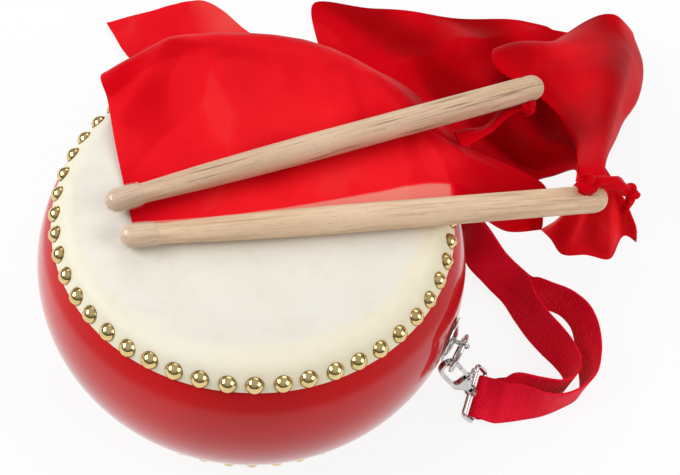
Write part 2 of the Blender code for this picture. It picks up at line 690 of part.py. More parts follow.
OUTER_RUN = (
    ((152.0, -48.4, 12.6), (0.08, 0.75, 0.66)),
    ((165.5, -45.8, 12.3), (-0.12, 0.46, 0.88)),
    ((178.0, -44.8, 13.0), (-0.20, 0.10, 0.97)),
    ((189.5, -40.5, 13.0), (-0.20, -0.14, 0.97)),
    ((199.0, -33.5, 13.1), (-0.06, -0.12, 0.99)),
    ((204.0, -24.0, 13.1), (0.14, -0.04, 0.98)),
    ((205.0, -12.0, 12.8), (0.28, 0.0, 0.96)),
    ((204.5, -2.0, 12.7), (0.34, 0.02, 0.94)),
    ((203.0, 9.0, 12.8), (0.30, 0.10, 0.95)),
    ((199.0, 19.0, 13.0), (0.18, 0.15, 0.97)),
    ((190.0, 26.5, 13.2), (0.06, 0.14, 0.98)),
    ((178.0, 29.5, 13.2), (0.08, 0.18, 0.97)),
    ((168.0, 31.0, 13.0), (0.28, 0.28, 0.90)),
    ((160.6, 32.5, 11.4), (0.50, 0.35, 0.80)),
    ((151.5, 42.2, 9.0), (0.80, 0.36, 0.50)),
    ((140.2, 53.5, 9.6), (0.74, 0.33, 0.59)),
    ((132.6, 66.0, 14.0), (0.28, 0.19, 0.94)),
)
BACK_RUN = (
    (100.5, 110.0, 16.0), (84.0, 123.0, 14.5), (62.0, 135.5, 13.3), (35.0, 145.0, 13.2),
    (5.0, 149.0, 13.2), (-22.0, 147.5, 13.2), (-37.0, 143.5, 13.2), (-43.5, 138.5, 13.2),
    (-41.0, 133.5, 13.2), (-33.0, 134.5, 13.2), (-12.0, 138.0, 13.2), (12.0, 138.0, 13.2),
    (33.0, 134.0, 13.2), (44.0, 130.5, 13.2), (50.5, 126.0, 13.2), (50.0, 121.0, 13.2),
    (44.0, 120.5, 13.2), (29.0, 124.7, 13.2), (5.0, 128.0, 13.2), (-22.0, 126.2, 13.2),
    (-46.0, 119.4, 13.2), (-64.0, 114.0, 13.4), (-79.0, 112.0, 13.8), (-90.0, 109.5, 14.4),
)
SLIDER_PLACE = (118.0, 92.0, 17.3)
SLIDER_TURN = radians(-55.0)
LEFT_LEAD = (-105.5, 95.0, 15.5)
RIGHT_LEAD = (151.0, -43.0, 11.5)
BAR_LEAD = 0.0035
UPRIGHT = Vector((0.0, 0.0, 1.0))


def slider_frame():
    """X runs along the band towards the right loop, Y away from the drum."""
    along = Vector((cos(SLIDER_TURN), sin(SLIDER_TURN), 0.0))
    return frame_from(millimetres(SLIDER_PLACE), along, UPRIGHT.cross(along), UPRIGHT)


def free_run(pairs, steps=2):
    """Smoothed stretch, as (middle, direction of the width)."""
    rows = [(*millimetres(middle), *width) for middle, width in pairs]
    return [(Vector(row[:3]), Vector(row[3:]).normalized()) for row in smooth(rows, steps)]


def round_the_bar(label, lead):
    """Half a turn round a loop's bar, ending on the side that leads to a point."""
    loop = loop_frame(label)
    centre = Vector((-LOOP_DEPTH, 0.0, 0.0))
    away = loop.inverted() @ millimetres(lead) - centre
    leave = atan2(-away.x, away.y)
    radius = LOOP_WIRE_RADIUS + CLEARANCE + WEBBING_THICKNESS / 2.0
    turned = []
    for x, y in arc(centre, radius, leave - pi, leave, 6):
        turned.append((loop @ Vector((x, y, 0.0)), loop.to_3x3() @ UPRIGHT))
    straight = loop.to_3x3() @ Vector((-sin(leave), cos(leave), 0.0)) * BAR_LEAD
    before, after = turned[0], turned[-1]
    return [(before[0] + straight, before[1])] + turned + [(after[0] + straight, after[1])]


def through_slider(side):
    """Stretches at the slider: the sewn end first, then the running layer."""
    bar = SLIDER_BAR / 2.0
    face = SLIDER_THICKNESS / 2.0
    half = WEBBING_THICKNESS / 2.0
    step = WEBBING_THICKNESS + CLEARANCE
    run = -face - CLEARANCE - half
    round_bar = bar + CLEARANCE + half
    lift = face + CLEARANCE + half
    if side == "sewn":
        corner = (CLEARANCE + half) * cos(pi / 4.0)
        local = [(SEWN_TAIL, run - 2.0 * step), (round_bar, run - 2.0 * step),
                 (-round_bar, run - 0.9 * step), (-round_bar, face), (-bar - corner, face + corner),
                 (-bar, lift), (bar, lift), (bar + corner, face + corner), (round_bar, face),
                 (round_bar, run - 0.3 * step), (round_bar + 0.0022, run - step),
                 (SEWN_TAIL, run - step)]
    else:
        over = bar + SLIDER_SLOT
        local = [(SEWN_TAIL, run), (over - 0.0008, run), (over - 0.0028, run + 0.0020),
                 (bar + 0.0027, lift + 0.0003), (bar + 0.0007, lift + step)]
        local += [(-x, y) for x, y in reversed(local[1:])]
        local += [(-over - SLIDER_BAR - CLEARANCE, run)]
    place = slider_frame()
    return [(place @ Vector((x, y, 0.0)), UPRIGHT) for x, y in local]


def beside_left_bar():
    """Where the band comes to the left loop, and its sewn end beside it."""
    loop = loop_frame("left")
    bar = loop @ Vector((-LOOP_DEPTH, 0.0, 0.0))
    away = (millimetres(LEFT_LEAD) - bar).normalized()
    aside = away.cross(loop.to_3x3() @ UPRIGHT)
    near = (WEBBING_THICKNESS + CLEARANCE) * 0.9
    far = (WEBBING_THICKNESS + CLEARANCE) * 0.6
    width = loop.to_3x3() @ UPRIGHT
    rows = []
    for distance, turn, spread in ((0.013, 0.4, near), (0.027, 0.85, far)):
        middle = bar + away * distance
        across = width.lerp(UPRIGHT, turn).normalized()
        rows.append((middle, across, aside * spread))
    coming = [(middle - shift, across) for middle, across, shift in reversed(rows)]
    leaving = [(middle + shift, across) for middle, across, shift in rows]
    return coming, leaving


def strap_stations():
    coming, leaving = beside_left_bar()
    back = [(middle, (0.0, 0.0, 1.0)) for middle in BACK_RUN]
    stations = through_slider("sewn") + free_run(INNER_RUN)
    stations += round_the_bar("right", RIGHT_LEAD) + free_run(OUTER_RUN)
    stations += through_slider("running") + free_run(back)
    return stations + coming + round_the_bar("left", LEFT_LEAD) + leaving


def band(stations):
    """Rectangular section swept along the stations, thin across their width."""
    centres = [middle for middle, width in stations]
    rings = []
    for (middle, width), tangent in zip(stations, tangents(centres)):
        across = Vector(width).normalized() * WEBBING_WIDTH / 2.0
        thin = tangent.cross(across).normalized() * WEBBING_THICKNESS / 2.0
        rings.append([middle + across + thin, middle - across + thin,
                      middle - across - thin, middle + across - thin])
    return skin_of_rings(rings)


def make_slider():
    """Three bars between two sides, as one flat plate with two slots."""
    along = SLIDER_BAR * 1.5 + SLIDER_SLOT
    inside = WEBBING_WIDTH / 2.0 + SLIDER_PLAY
    tall = inside + SLIDER_SIDE
    place = slider_frame() @ Matrix.Rotation(pi / 2.0, 4, "X")
    bend = SLIDER_SIDE / 2.0
    outline = []
    for x, y, start in ((1, 1, 0.0), (-1, 1, pi / 2.0), (-1, -1, pi), (1, -1, 1.5 * pi)):
        centre = (x * (along - bend), y * (tall - bend))
        outline += arc(centre, bend, start, start + pi / 2.0, 2)
    mesh = mesh_from(prism(outline, SLIDER_THICKNESS / 2.0))
    slider = add_object("strap_slider", mesh, NICKEL, place)
    for side in (1, -1):
        near, far = side * SLIDER_BAR / 2.0, side * (SLIDER_BAR / 2.0 + SLIDER_SLOT)
        slot = [(near, -inside), (far, -inside), (far, inside), (near, inside)]
        apply_boolean(slider, prism(slot, SLIDER_THICKNESS), "DIFFERENCE", place)


add_object("strap_webbing", mesh_from(band(strap_stations()), pi / 4.0), RED_WEBBING)
make_slider()

# Sticks. In a stick's frame Z runs from the tip to the butt and Y is up.
STICK_ENDS = {
    "a": ((-73.6, -23.4, 117.6), (146.8, 103.4, 117.6)),
    "b": ((-62.1, -40.6, 115.4), (183.3, 28.9, 116.9)),
}


def stick_frame(label):
    tip, butt = (round_drum(end) for end in STICK_ENDS[label])
    along = (butt - tip).normalized()
    aside = UPRIGHT.cross(along).normalized()
    return frame_from(tip, aside, along.cross(aside), along)


def tip_line():
    """The tip's side in (r, z), from its end to the neck."""
    rounded = [(STICK_TIP_RADIUS * sin(turn), STICK_TIP_ROUND * (1.0 - cos(turn)))
               for turn in (0.0, radians(35.0), radians(65.0), radians(90.0))]
    return rounded + [(STICK_TIP_RADIUS, STICK_NECK_AT * 0.62)]


def stick_profile():
    taper = STICK_TAPER_END - STICK_NECK_AT
    middle = STICK_NECK_AT + taper * 0.35
    swell = STICK_NECK_RADIUS + (STICK_RADIUS - STICK_NECK_RADIUS) * 0.55
    butt = STICK_LENGTH - STICK_BUTT_ROUND
    profile = tip_line() + [(STICK_NECK_RADIUS, STICK_NECK_AT), (swell, middle),
                            (STICK_RADIUS, STICK_TAPER_END), (STICK_RADIUS, butt)]
    profile += [(STICK_RADIUS * cos(turn), butt + STICK_BUTT_ROUND * sin(turn))
                for turn in (radians(35.0), radians(65.0))]
    return profile + [(0.0, STICK_LENGTH)]


def make_stick(label):
    frame = stick_frame(label)
    stick = add_object("stick_" + label, mesh_from(revolve(stick_profile(), 14)), BEECH, frame)
    hole = STICK_LENGTH - STICK_HOLE_FROM_BUTT
    reach = 2.0 * STICK_RADIUS
    apply_boolean(stick, rod(STICK_HOLE_RADIUS, (0, -reach, hole), (0, reach, hole)), "DIFFERENCE", frame)
    line = tip_line()
    line.append((STICK_NECK_RADIUS + (STICK_TIP_RADIUS - STICK_NECK_RADIUS) * 0.4, CAP_LENGTH))
    inner = offset_line(line, CLEARANCE)
    outer = offset_line(line, CLEARANCE + CAP_WALL)
    cap = mesh_from(revolve(outer + list(reversed(inner)), 14))
    add_object("tip_cap_" + label, cap, CLEAR_CAP, frame)


for label in STICK_ENDS:
    make_stick(label)

# Scarves. Each sheet is a net of points in mm; each row is one line across the cloth.
# The nets and the ties are drawn round the usual drum and follow its size.
SCARF_A = (
    ((-60, -27, 109.2), (-22, -14, 109.2), (18, -2, 109.2), (59, 11, 109.2), (90, 20, 109.2),
     (113, 22, 103.5), (140, 30, 79), (161, 42, 68)),
    ((-66, -13, 109.2), (-31, 2, 109.2), (7, 18, 109.2), (45, 34, 109.2), (79, 46, 109.2),
     (104, 50, 106), (132, 52, 93), (159, 51, 77)),
    ((-79, 17, 109.3), (-50, 43, 110.5), (-14, 61, 110.8), (27, 69, 110.0), (65, 70, 109.2),
     (92, 64, 108), (116, 62, 100), (156, 60, 84)),
    ((-92, 50, 109), (-72, 67, 112), (-47, 83, 115), (-16, 95, 115), (23, 96, 115),
     (59, 87, 112), (86, 72, 108.8), (111, 68, 101)),
    ((-104, 76, 104), (-88, 83, 110), (-64, 103, 112), (-20, 116, 112), (17, 116, 111),
     (58, 104, 109), (84, 90, 107), (106, 77, 100)),
    ((-116, 92, 74), (-102, 103, 78), (-77, 123, 80), (-25, 141, 80), (20, 141, 80),
     (69, 124, 78), (99, 107, 74), (120, 91, 70)),
    ((-125, 112, 38), (-110, 124, 40), (-83, 142, 42), (-27, 162, 42), (22, 162, 42),
     (75, 145, 42), (109, 124, 40), (134, 100, 38)),
    ((-130, 130, 4), (-114, 141, 4), (-86, 158, 4), (-28, 175, 4), (22, 175, 4),
     (78, 158, 4), (114, 134, 4), (140, 108, 4)),
    ((-140, 170, 1.6), (-124, 182, 2.2), (-96, 200, 2.2), (-40, 198, 1.6), (20, 182, 1.6),
     (80, 166, 1.6), (118, 140, 1.6), (144, 112, 1.6)),
    ((-147, 216, 1.6), (-131, 225, 2.2), (-108, 240, 2.2), (-48, 226, 1.6), (18, 187, 1.6),
     (82, 170, 1.6), (121, 144, 1.6), (147, 115, 1.6)),
)
SCARF_B = (
    ((183, 62, 101), (184, 113, 50), (170, 141, 24), (128, 163, 10), (72, 188, 5), (14, 212, 3)),
    ((184, 61, 103), (187, 115, 57), (170, 165, 31), (122, 195, 16), (64, 222, 8), (4, 243, 5)),
    ((186, 60, 105), (190, 117, 63), (174, 185, 42), (126, 222, 24), (70, 246, 12), (0, 271, 3)),
    ((189, 59, 106), (194, 115, 68), (184, 190, 44), (150, 232, 26), (112, 252, 14), (74, 269, 5)),
    ((191, 59, 106), (198, 112, 74), (196, 188, 46), (178, 232, 28), (160, 254, 16), (139, 271, 8)),
    ((193, 60, 105), (202, 108, 78), (208, 180, 48), (210, 228, 28), (200, 258, 16), (200, 280, 10)),
    ((195, 62, 104), (205, 104, 80), (218, 165, 52), (235, 215, 30), (245, 250, 18), (240, 280, 14)),
)
# The tie of stick b, measured from the middle of its hole.
KNOT_B = (17.3, 12.1, -0.8)
LEAD_B = (7.8, 14.6, 4.7)
NECK_B = (17.3, 22.1, -4.8)
END_B = (28.3, 14.1, -4.3)
SCARF_B_TOP = (189.5, 58.5, 106.2)
TAIL_B = ((5.3, -4.8), (1.3, -28.8), (-5.7, -54.8),
          (8.3, -60.8), (33.3, -60.8), (42.3, -52.8), (39.3, -40.8), (26.3, -4.8))


def sheet(net, steps=2):
    """A closed slab of even thickness, smoothed along the rows of its net."""
    rows = [smooth([tuple(round_drum(point)) for point in row], steps) for row in net]
    grid = [[Vector(point) for point in row] for row in rows]
    wide, tall = len(grid), len(grid[0])
    faces = [(i, j) for i in range(wide - 1) for j in range(tall - 1)]
    normals = {}
    for i, j in faces:
        corners = ((i, j), (i + 1, j), (i + 1, j + 1), (i, j + 1))
        a, b, c, d = (grid[u][v] for u, v in corners)
        normal = (c - a).cross(d - b)
        for corner in corners:
            normals[corner] = normals.get(corner, Vector()) + normal
    builder = bmesh.new()
    layers = []
    for side in (0.5, -0.5):
        shift = side * CLOTH_THICKNESS
        layers.append({key: builder.verts.new(grid[key[0]][key[1]] + value.normalized() * shift)
                       for key, value in normals.items()})
    for i, j in faces:
        corners = [(i, j), (i + 1, j), (i + 1, j + 1), (i, j + 1)]
        builder.faces.new([layers[0][key] for key in corners])
        builder.faces.new([layers[1][key] for key in reversed(corners)])
    edge = [(i, 0) for i in range(wide)] + [(wide - 1, j) for j in range(1, tall)]
    edge += [(i, tall - 1) for i in range(wide - 2, -1, -1)] + [(0, j) for j in range(tall - 2, 0, -1)]
    for here, there in zip(edge, edge[1:] + edge[:1]):
        builder.faces.new((layers[1][here], layers[1][there], layers[0][there], layers[0][here]))
    return builder


def hole_centre(label):
    return stick_frame(label) @ Vector((0.0, 0.0, STICK_LENGTH - STICK_HOLE_FROM_BUTT))


def make_tie_a():
    """The scarf's corner as a rope: knotted on top, down through the hole to the sheet."""
    hole = hole_centre("a")
    top = hole + UPRIGHT * (STICK_RADIUS + 0.0045)
    under = hole - UPRIGHT * (STICK_RADIUS + 0.0030)
    path = [top, hole, under] + [round_drum(point) for point in ((129, 81, 104), (120.5, 68.5, 101.6))]
    slim = ROPE_IN_HOLE_RADIUS
    tie = add_object("tie_a", mesh_from(rope(path, [slim, slim, slim, 0.0026, 0.0018])), RED_SILK)
    knot = ball(0.0040, hole + UPRIGHT * (STICK_RADIUS + 0.0038), (1.2, 1.0, 0.8))
    apply_boolean(tie, knot, "UNION")


def make_tie_b():
    """A coil round the butt, a knot past its end, and the hanging corner of the scarf."""
    frame = stick_frame("b")
    hole = STICK_LENGTH - STICK_HOLE_FROM_BUTT
    radius = (STICK_RADIUS + CLEARANCE + COIL_ROPE_RADIUS) / cos(pi / 14.0)
    turns = [2.0 * pi * step / 14 for step in range(14)]
    circle = [frame @ Vector((radius * cos(turn), radius * sin(turn), hole)) for turn in turns]
    tie = add_object("tie_b", mesh_from(rope(circle, [COIL_ROPE_RADIUS] * 14, 6, closed=True)), RED_SILK)
    middle = hole_centre("b")
    knot = middle + millimetres(KNOT_B)
    start = frame @ Vector((radius * 0.8, radius * 0.6, hole))
    lead = [start, middle + millimetres(LEAD_B), knot]
    apply_boolean(tie, rope(lead, [0.0022, 0.0026, 0.0034], 6), "UNION")
    apply_boolean(tie, ball(0.0058, knot, (1.15, 0.9, 0.9)), "UNION")
    neck = [knot, middle + millimetres(NECK_B), round_drum(SCARF_B_TOP)]
    apply_boolean(tie, rope(neck, [0.0036, 0.0034, 0.0040], 6), "UNION")
    end = middle + millimetres(END_B)
    apply_boolean(tie, rope([knot, end], [0.0034, 0.0028], 6), "UNION")
    tail = [(x * 0.001, z * 0.001) for x, z in TAIL_B]
    hang = Matrix.Translation((middle.x, knot.y, middle.z)) @ Matrix.Rotation(pi / 2.0, 4, "X")
    apply_boolean(tie, prism(tail, CLOTH_THICKNESS), "UNION", hang)


add_object("scarf_a", mesh_from(sheet(SCARF_A), pi / 3.0), RED_SILK)
add_object("scarf_b", mesh_from(sheet(SCARF_B), pi / 3.0), RED_SILK)
make_tie_a()
make_tie_b()
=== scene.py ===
from math import asin, atan, atan2, cos, exp, hypot, pi, radians, sin, sqrt, tau

import bmesh
import bpy
from mathutils import Matrix, Vector, noise


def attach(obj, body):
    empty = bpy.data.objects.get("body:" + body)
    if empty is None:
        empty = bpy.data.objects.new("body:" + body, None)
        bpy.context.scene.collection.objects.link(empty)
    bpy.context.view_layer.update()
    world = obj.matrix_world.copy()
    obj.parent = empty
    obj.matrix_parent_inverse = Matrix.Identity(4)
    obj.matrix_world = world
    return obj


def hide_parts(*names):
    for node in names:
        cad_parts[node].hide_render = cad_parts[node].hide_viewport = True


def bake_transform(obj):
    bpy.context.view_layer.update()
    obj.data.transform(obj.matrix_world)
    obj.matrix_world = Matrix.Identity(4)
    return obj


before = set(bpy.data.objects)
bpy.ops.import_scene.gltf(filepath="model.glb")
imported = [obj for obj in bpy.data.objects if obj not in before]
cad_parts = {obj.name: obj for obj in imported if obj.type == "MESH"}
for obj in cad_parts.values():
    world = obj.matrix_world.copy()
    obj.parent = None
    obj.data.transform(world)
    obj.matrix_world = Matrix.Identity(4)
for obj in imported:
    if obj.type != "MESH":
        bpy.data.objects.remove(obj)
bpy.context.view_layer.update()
MM = 0.001

# Shell. A squat barrel turned from light wood, sprayed with several coats of red
# lacquer and polished. Its belly is one arc; both ends are rounded for the skins.
BELLY_RADIUS = 0.1200
NAIL_SEAT_RADIUS = 0.1036
NAIL_SEAT_HEIGHT = 0.0464
SEAT_HALF_ANGLE = radians(3.2)
EDGE_ROUND = 0.0100
SKIN_GAP = 0.0003
SKIN_THICKNESS = 0.0009
MOUTH_RADIUS = 0.0860
MOUTH_DEPTH = 0.0080
BELLY_WALL = 0.0115
SHOULDER_WALL = 0.0150
SHOULDER_HEIGHT = 0.0260
SEAT_ANGLE = 2.0 * atan((BELLY_RADIUS - NAIL_SEAT_RADIUS) / NAIL_SEAT_HEIGHT)
BELLY_ARC = NAIL_SEAT_HEIGHT / sin(SEAT_ANGLE)
ROUND_FROM = SEAT_ANGLE + SEAT_HALF_ANGLE
LACQUER_RED = (206, 2, 8)
DULL_FROM = 0.0300
DULL_BLEND = 0.0060


def paint(red, green, blue):
    """A paint chip's 0-255 values as the linear colour that a shader takes."""
    chip = [value / 255.0 for value in (red, green, blue)]
    return (*[c / 12.92 if c < 0.04045 else ((c + 0.055) / 1.055) ** 2.4 for c in chip], 1.0)


class Wire:
    """A shader socket. Arithmetic on it adds Math nodes to its own node tree."""

    def __init__(self, tree, socket=None):
        self.tree = tree
        self.socket = socket

    def add(self, kind, settings=None, inputs=None, output=0):
        node = self.tree.nodes.new(kind)
        for name, value in (settings or {}).items():
            setattr(node, name, value)
        for name, value in (inputs or {}).items():
            if isinstance(value, Wire):
                self.tree.links.new(value.socket, node.inputs[name])
            else:
                node.inputs[name].default_value = value
        return Wire(self.tree, node.outputs[output])

    def _math(self, operation, first, second=0.0):
        return self.add("ShaderNodeMath", {"operation": operation}, {0: first, 1: second})

    def __add__(self, other):
        return self._math("ADD", self, other)

    def __radd__(self, other):
        return self._math("ADD", other, self)

    def __sub__(self, other):
        return self._math("SUBTRACT", self, other)

    def __rsub__(self, other):
        return self._math("SUBTRACT", other, self)

    def __mul__(self, other):
        return self._math("MULTIPLY", self, other)

    def __rmul__(self, other):
        return self._math("MULTIPLY", other, self)

    def __pow__(self, other):
        return self._math("POWER", self, other)

    def sine(self):
        return self._math("SINE", self)

    def between(self, low, high):
        """0 at low, 1 at high, clamped, and eased in between."""
        return self.add("ShaderNodeMapRange", {"interpolation_type": "SMOOTHSTEP"},
                        {"Value": self, "From Min": low, "From Max": high})

    def noise(self, scale, detail, roughness=0.5):
        return self.add("ShaderNodeTexNoise", {},
                        {"Vector": self, "Scale": scale, "Detail": detail, "Roughness": roughness})

    def stretch(self, x, y, z):
        return self.add("ShaderNodeVectorMath", {"operation": "MULTIPLY"}, {0: self, 1: (x, y, z)})

    def axis(self, name):
        return self.add("ShaderNodeSeparateXYZ", {}, {0: self}, name)

    def length(self):
        return self.add("ShaderNodeVectorMath", {"operation": "LENGTH"}, {0: self}, "Value")

    def tint(self, first, second):
        """First colour where this is 0, second where it is 1."""
        return self.add("ShaderNodeMix", {"data_type": "RGBA"}, {0: self, 6: first, 7: second}, 2)

    def cloudy(self, first, second):
        """Two near colours in soft clouds, where this is a noise."""
        return self.between(0.3, 0.7).tint(paint(*first), paint(*second))

    def bump(self, distance, strength):
        return self.add("ShaderNodeBump", {},
                        {"Height": self, "Distance": distance, "Strength": strength})


def finish(name, build):
    """A material whose Principled sockets are what build makes of the object's own space."""
    made = bpy.data.materials.new(name)
    made.use_nodes = True
    tree = made.node_tree
    shader = tree.nodes["Principled BSDF"]
    place = Wire(tree).add("ShaderNodeTexCoord", output="Object")
    for socket, value in build(place).items():
        if isinstance(value, Wire):
            tree.links.new(value.socket, shader.inputs[socket])
        else:
            shader.inputs[socket].default_value = value
    return made


def placed(name, data):
    made = bpy.data.objects.new(name, data)
    bpy.context.scene.collection.objects.link(made)
    return made


def piece(name, mesh, look, body, nodes=(), place=None):
    """Puts a finished mesh in the scene on its body, in place of its solids."""
    made = placed(name, mesh)
    mesh.materials.append(look)
    if place is not None:
        made.matrix_world = place
    if body:
        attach(made, body)
    if nodes:
        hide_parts(*nodes)
    return made


def meshed(points, faces, sharp=radians(40.0), marks=None):
    """A mesh of points and faces; marks are named values, one for each point."""
    builder = bmesh.new()
    for name, values in (marks or {}).items():
        kinds = builder.verts.layers
        (kinds.float if isinstance(values[0], float) else kinds.float_vector).new(name)
    verts = [builder.verts.new(point) for point in points]
    for name, values in (marks or {}).items():
        kinds = builder.verts.layers
        layer = (kinds.float if isinstance(values[0], float) else kinds.float_vector)[name]
        for vert, value in zip(verts, values):
            vert[layer] = value
    for face in faces:
        builder.faces.new([verts[index] for index in face])
    return from_builder(builder, sharp)


def from_builder(builder, sharp=radians(40.0)):
    bmesh.ops.remove_doubles(builder, verts=builder.verts, dist=1e-7)
    bmesh.ops.dissolve_degenerate(builder, edges=builder.edges, dist=1e-8)
    bmesh.ops.recalc_face_normals(builder, faces=builder.faces)
    mesh = bpy.data.meshes.new("form")
    builder.to_mesh(mesh)
    builder.free()
    mesh.shade_smooth()
    mesh.set_sharp_from_angle(angle=sharp)
    return mesh


def arc(centre, radius, start, end, steps):
    turns = [start + (end - start) * step / steps for step in range(steps + 1)]
    return [(centre[0] + radius * cos(turn), centre[1] + radius * sin(turn)) for turn in turns]


def bands(rows, sides, closed=False):
    """The faces between rows of points that each have this many sides round them."""
    faces = []
    for row in range(rows if closed else rows - 1):
        here, there = row * sides, (row + 1) % rows * sides
        for side in range(sides):
            after = (side + 1) % sides
            faces.append((here + side, here + after, there + after, there + side))
    return faces


def turned(profile, sides, closed=False):
    """A (r, z) line turned about Z; its ends close on the axis unless it is a loop."""
    points = []
    for r, z in profile:
        points += [(r * cos(tau * side / sides), r * sin(tau * side / sides), z)
                   for side in range(sides)]
    return meshed(points, bands(len(profile), sides, closed))


def belly(angle, out=0.0):
    return (BELLY_RADIUS - BELLY_ARC + (BELLY_ARC + out) * cos(angle), (BELLY_ARC + out) * sin(angle))


def bearing_edge(out, steps):
    r, z = belly(ROUND_FROM)
    centre = (r - EDGE_ROUND * cos(ROUND_FROM), z - EDGE_ROUND * sin(ROUND_FROM))
    return arc(centre, EDGE_ROUND + out, ROUND_FROM, pi / 2.0, steps)


WOOD_TOP = bearing_edge(0.0, 8)[-1][1]
MIDDLE = WOOD_TOP + SKIN_GAP + SKIN_THICKNESS
HEAD_TOP = 2.0 * MIDDLE


def shell_line():
    upper = [belly(ROUND_FROM * step / 20) for step in range(20)] + bearing_edge(0.0, 8)
    shoulder_angle = asin(SHOULDER_HEIGHT / BELLY_ARC)
    upper += [(MOUTH_RADIUS, WOOD_TOP), (MOUTH_RADIUS, WOOD_TOP - MOUTH_DEPTH),
              (belly(shoulder_angle)[0] - SHOULDER_WALL, SHOULDER_HEIGHT)]
    lower = [(r, -z) for r, z in reversed(upper[1:])]
    return [(r, z + MIDDLE) for r, z in upper + [(BELLY_RADIUS - BELLY_WALL, 0.0)] + lower]


def lacquer(place):
    """Polished all over but for a ring beside each skin, where the wheel can't reach."""
    cloud = place.noise(9.0, 3.0)
    peel = place.noise(620.0, 2.0)
    waves = place.noise(28.0, 1.0)
    dust = place.noise(1500.0, 1.0).between(0.68, 0.78)
    rub = place.noise(60.0, 4.0, 0.7).between(0.60, 0.85)
    colour = cloud.cloudy(LACQUER_RED, (184, 1, 7))
    colour = (dust * 0.25).tint(colour, paint(225, 90, 90))
    height = peel * 0.25 + waves * 0.75
    off_middle = place.axis("Z") - MIDDLE
    dull = (off_middle * off_middle + cloud * 0.0001).between(DULL_FROM ** 2, (DULL_FROM + DULL_BLEND) ** 2)
    return {"Base Color": colour, "Roughness": 0.30 + rub * 0.10, "Specular IOR Level": 0.1,
            "Coat Weight": 1.0 - dull * 0.80, "Coat Roughness": 0.05, "Coat IOR": 1.36,
            "Normal": height.bump(0.00025, 0.5)}


LACQUER = finish("red_lacquer", lacquer)
piece("barrel_shell", turned(shell_line(), 200, closed=True), LACQUER, "drum", ["shell"])

# Heads. Cleaned cowhide, stretched wet over each end, nailed and dried. It is white and
# cloudy where it is free, warmer over the wood, and puckers between the nails.
NAIL_COUNT = 50
NAIL_PHASE = radians(178.47)
SKIRT = 0.0039
PUCKER = 0.00032
SKIRT_WAVE = 0.0005
HIDE_WAVE = 0.00012
SKIN_STEPS = NAIL_COUNT * 12


def limited(value):
    """The value, but never under 0 or over 1."""
    return min(1.0, max(0.0, value))


def skin_line(out):
    """The skin's side from its trimmed edge over the bearing edge to the middle."""
    edge = SEAT_ANGLE - SKIRT / BELLY_ARC
    line = [belly(edge + (ROUND_FROM - edge) * step / 8, out) for step in range(8)]
    line += bearing_edge(out, 9)
    top = line[-1]
    return line + [(top[0] * share, top[1]) for share in (0.985, 0.96, 0.92, 0.86, 0.78, 0.66, 0.5,
                                                          0.3, 0.12)]


def head_mesh(side):
    outer, inner = skin_line(SKIN_GAP + SKIN_THICKNESS), skin_line(SKIN_GAP + SKIN_THICKNESS * 0.25)
    points, under = [], list(reversed(inner[:6]))
    rows = under + outer
    for row, (r, z) in enumerate(rows):
        climb = row - len(under)
        for step in range(SKIN_STEPS):
            turn = tau * step / SKIN_STEPS
            beat = (turn - NAIL_PHASE) / tau * NAIL_COUNT
            ridge = 0.5 - 0.5 * cos(tau * beat)
            seed = noise.noise(Vector((cos(turn) * 6.0, sin(turn) * 6.0, side * 3.0)))
            fade = max(0.0, 1.0 - abs(climb - 5) / 8.0) if climb >= 0 else 0.0
            lift = PUCKER * fade * (ridge * (1.0 + 0.8 * seed) - 0.45)
            trim = 0.0
            if climb < 4:
                trim = SKIRT_WAVE * (seed + 0.5 * (ridge - 0.5)) * max(0.0, 1.0 - max(climb, 0) / 4.0)
            dip = HIDE_WAVE * noise.noise(Vector((r * cos(turn) * 30.0, r * sin(turn) * 30.0, side)))
            lean = limited((z - 0.040) / 0.012)
            radius = r + lift * (1.0 - lean * 0.7)
            height = z + lift * lean + trim + (dip - HIDE_WAVE if climb > 16 else 0.0)
            points.append((radius * cos(turn), radius * sin(turn), MIDDLE + side * height))
    faces = bands(len(rows), SKIN_STEPS)
    points.append((0.0, 0.0, MIDDLE + side * (outer[-1][1] - 0.00015)))
    last = (len(rows) - 1) * SKIN_STEPS
    for step in range(SKIN_STEPS):
        faces.append((last + step, last + (step + 1) % SKIN_STEPS, len(points) - 1))
    return meshed(points, faces)


def rawhide(place):
    radius = place.stretch(1.0, 1.0, 0.0).length()
    dried = place.add("ShaderNodeVectorMath", {"operation": "ADD"}, {0: place, 1: (0.0035, -0.0035, 0.0)})
    fog = place.noise(22.0, 5.0, 0.6)
    wander = (place.noise(60.0, 3.0) - 0.5) * 0.006 + (place.noise(12.0, 1.0) - 0.5) * 0.010
    over_wood = (dried.stretch(1.0, 1.0, 0.0).length() + wander).between(0.0865, 0.0950)
    over_edge = (radius + wander * 0.4).between(0.094, 0.1055)
    side = place.axis("X").between(-0.10, 0.10)
    flecks = place.noise(900.0, 2.0).between(0.66, 0.74)
    veins = place.noise(70.0, 6.0, 0.65).between(0.52, 0.60)
    free = fog.between(0.3, 0.72).tint(paint(228, 224, 212), paint(234, 230, 219))
    seated = fog.cloudy((238, 234, 219), (234, 229, 209))
    seated = (side * 0.6).tint(seated, paint(234, 223, 193))
    colour = over_wood.tint(free, seated)
    colour = (over_edge * (0.25 + side * 0.5)).tint(colour, paint(238, 228, 194))
    colour = (veins * 0.10).tint(colour, paint(206, 196, 170))
    colour = (flecks * 0.30).tint(colour, paint(214, 205, 182))
    grain = place.noise(1400.0, 3.0) * 0.5 + place.noise(180.0, 3.0) * 0.5
    return {"Base Color": colour, "Roughness": 0.46 + fog * 0.12, "Specular IOR Level": 0.4,
            "Normal": grain.bump(0.00012, 0.5)}


RAWHIDE = finish("rawhide", rawhide)
top_head = piece("top_head", head_mesh(1), RAWHIDE, "drum", ["nailed_head_top"])
low_head = piece("low_head", head_mesh(-1), RAWHIDE, "drum", ["nailed_head_bottom"])

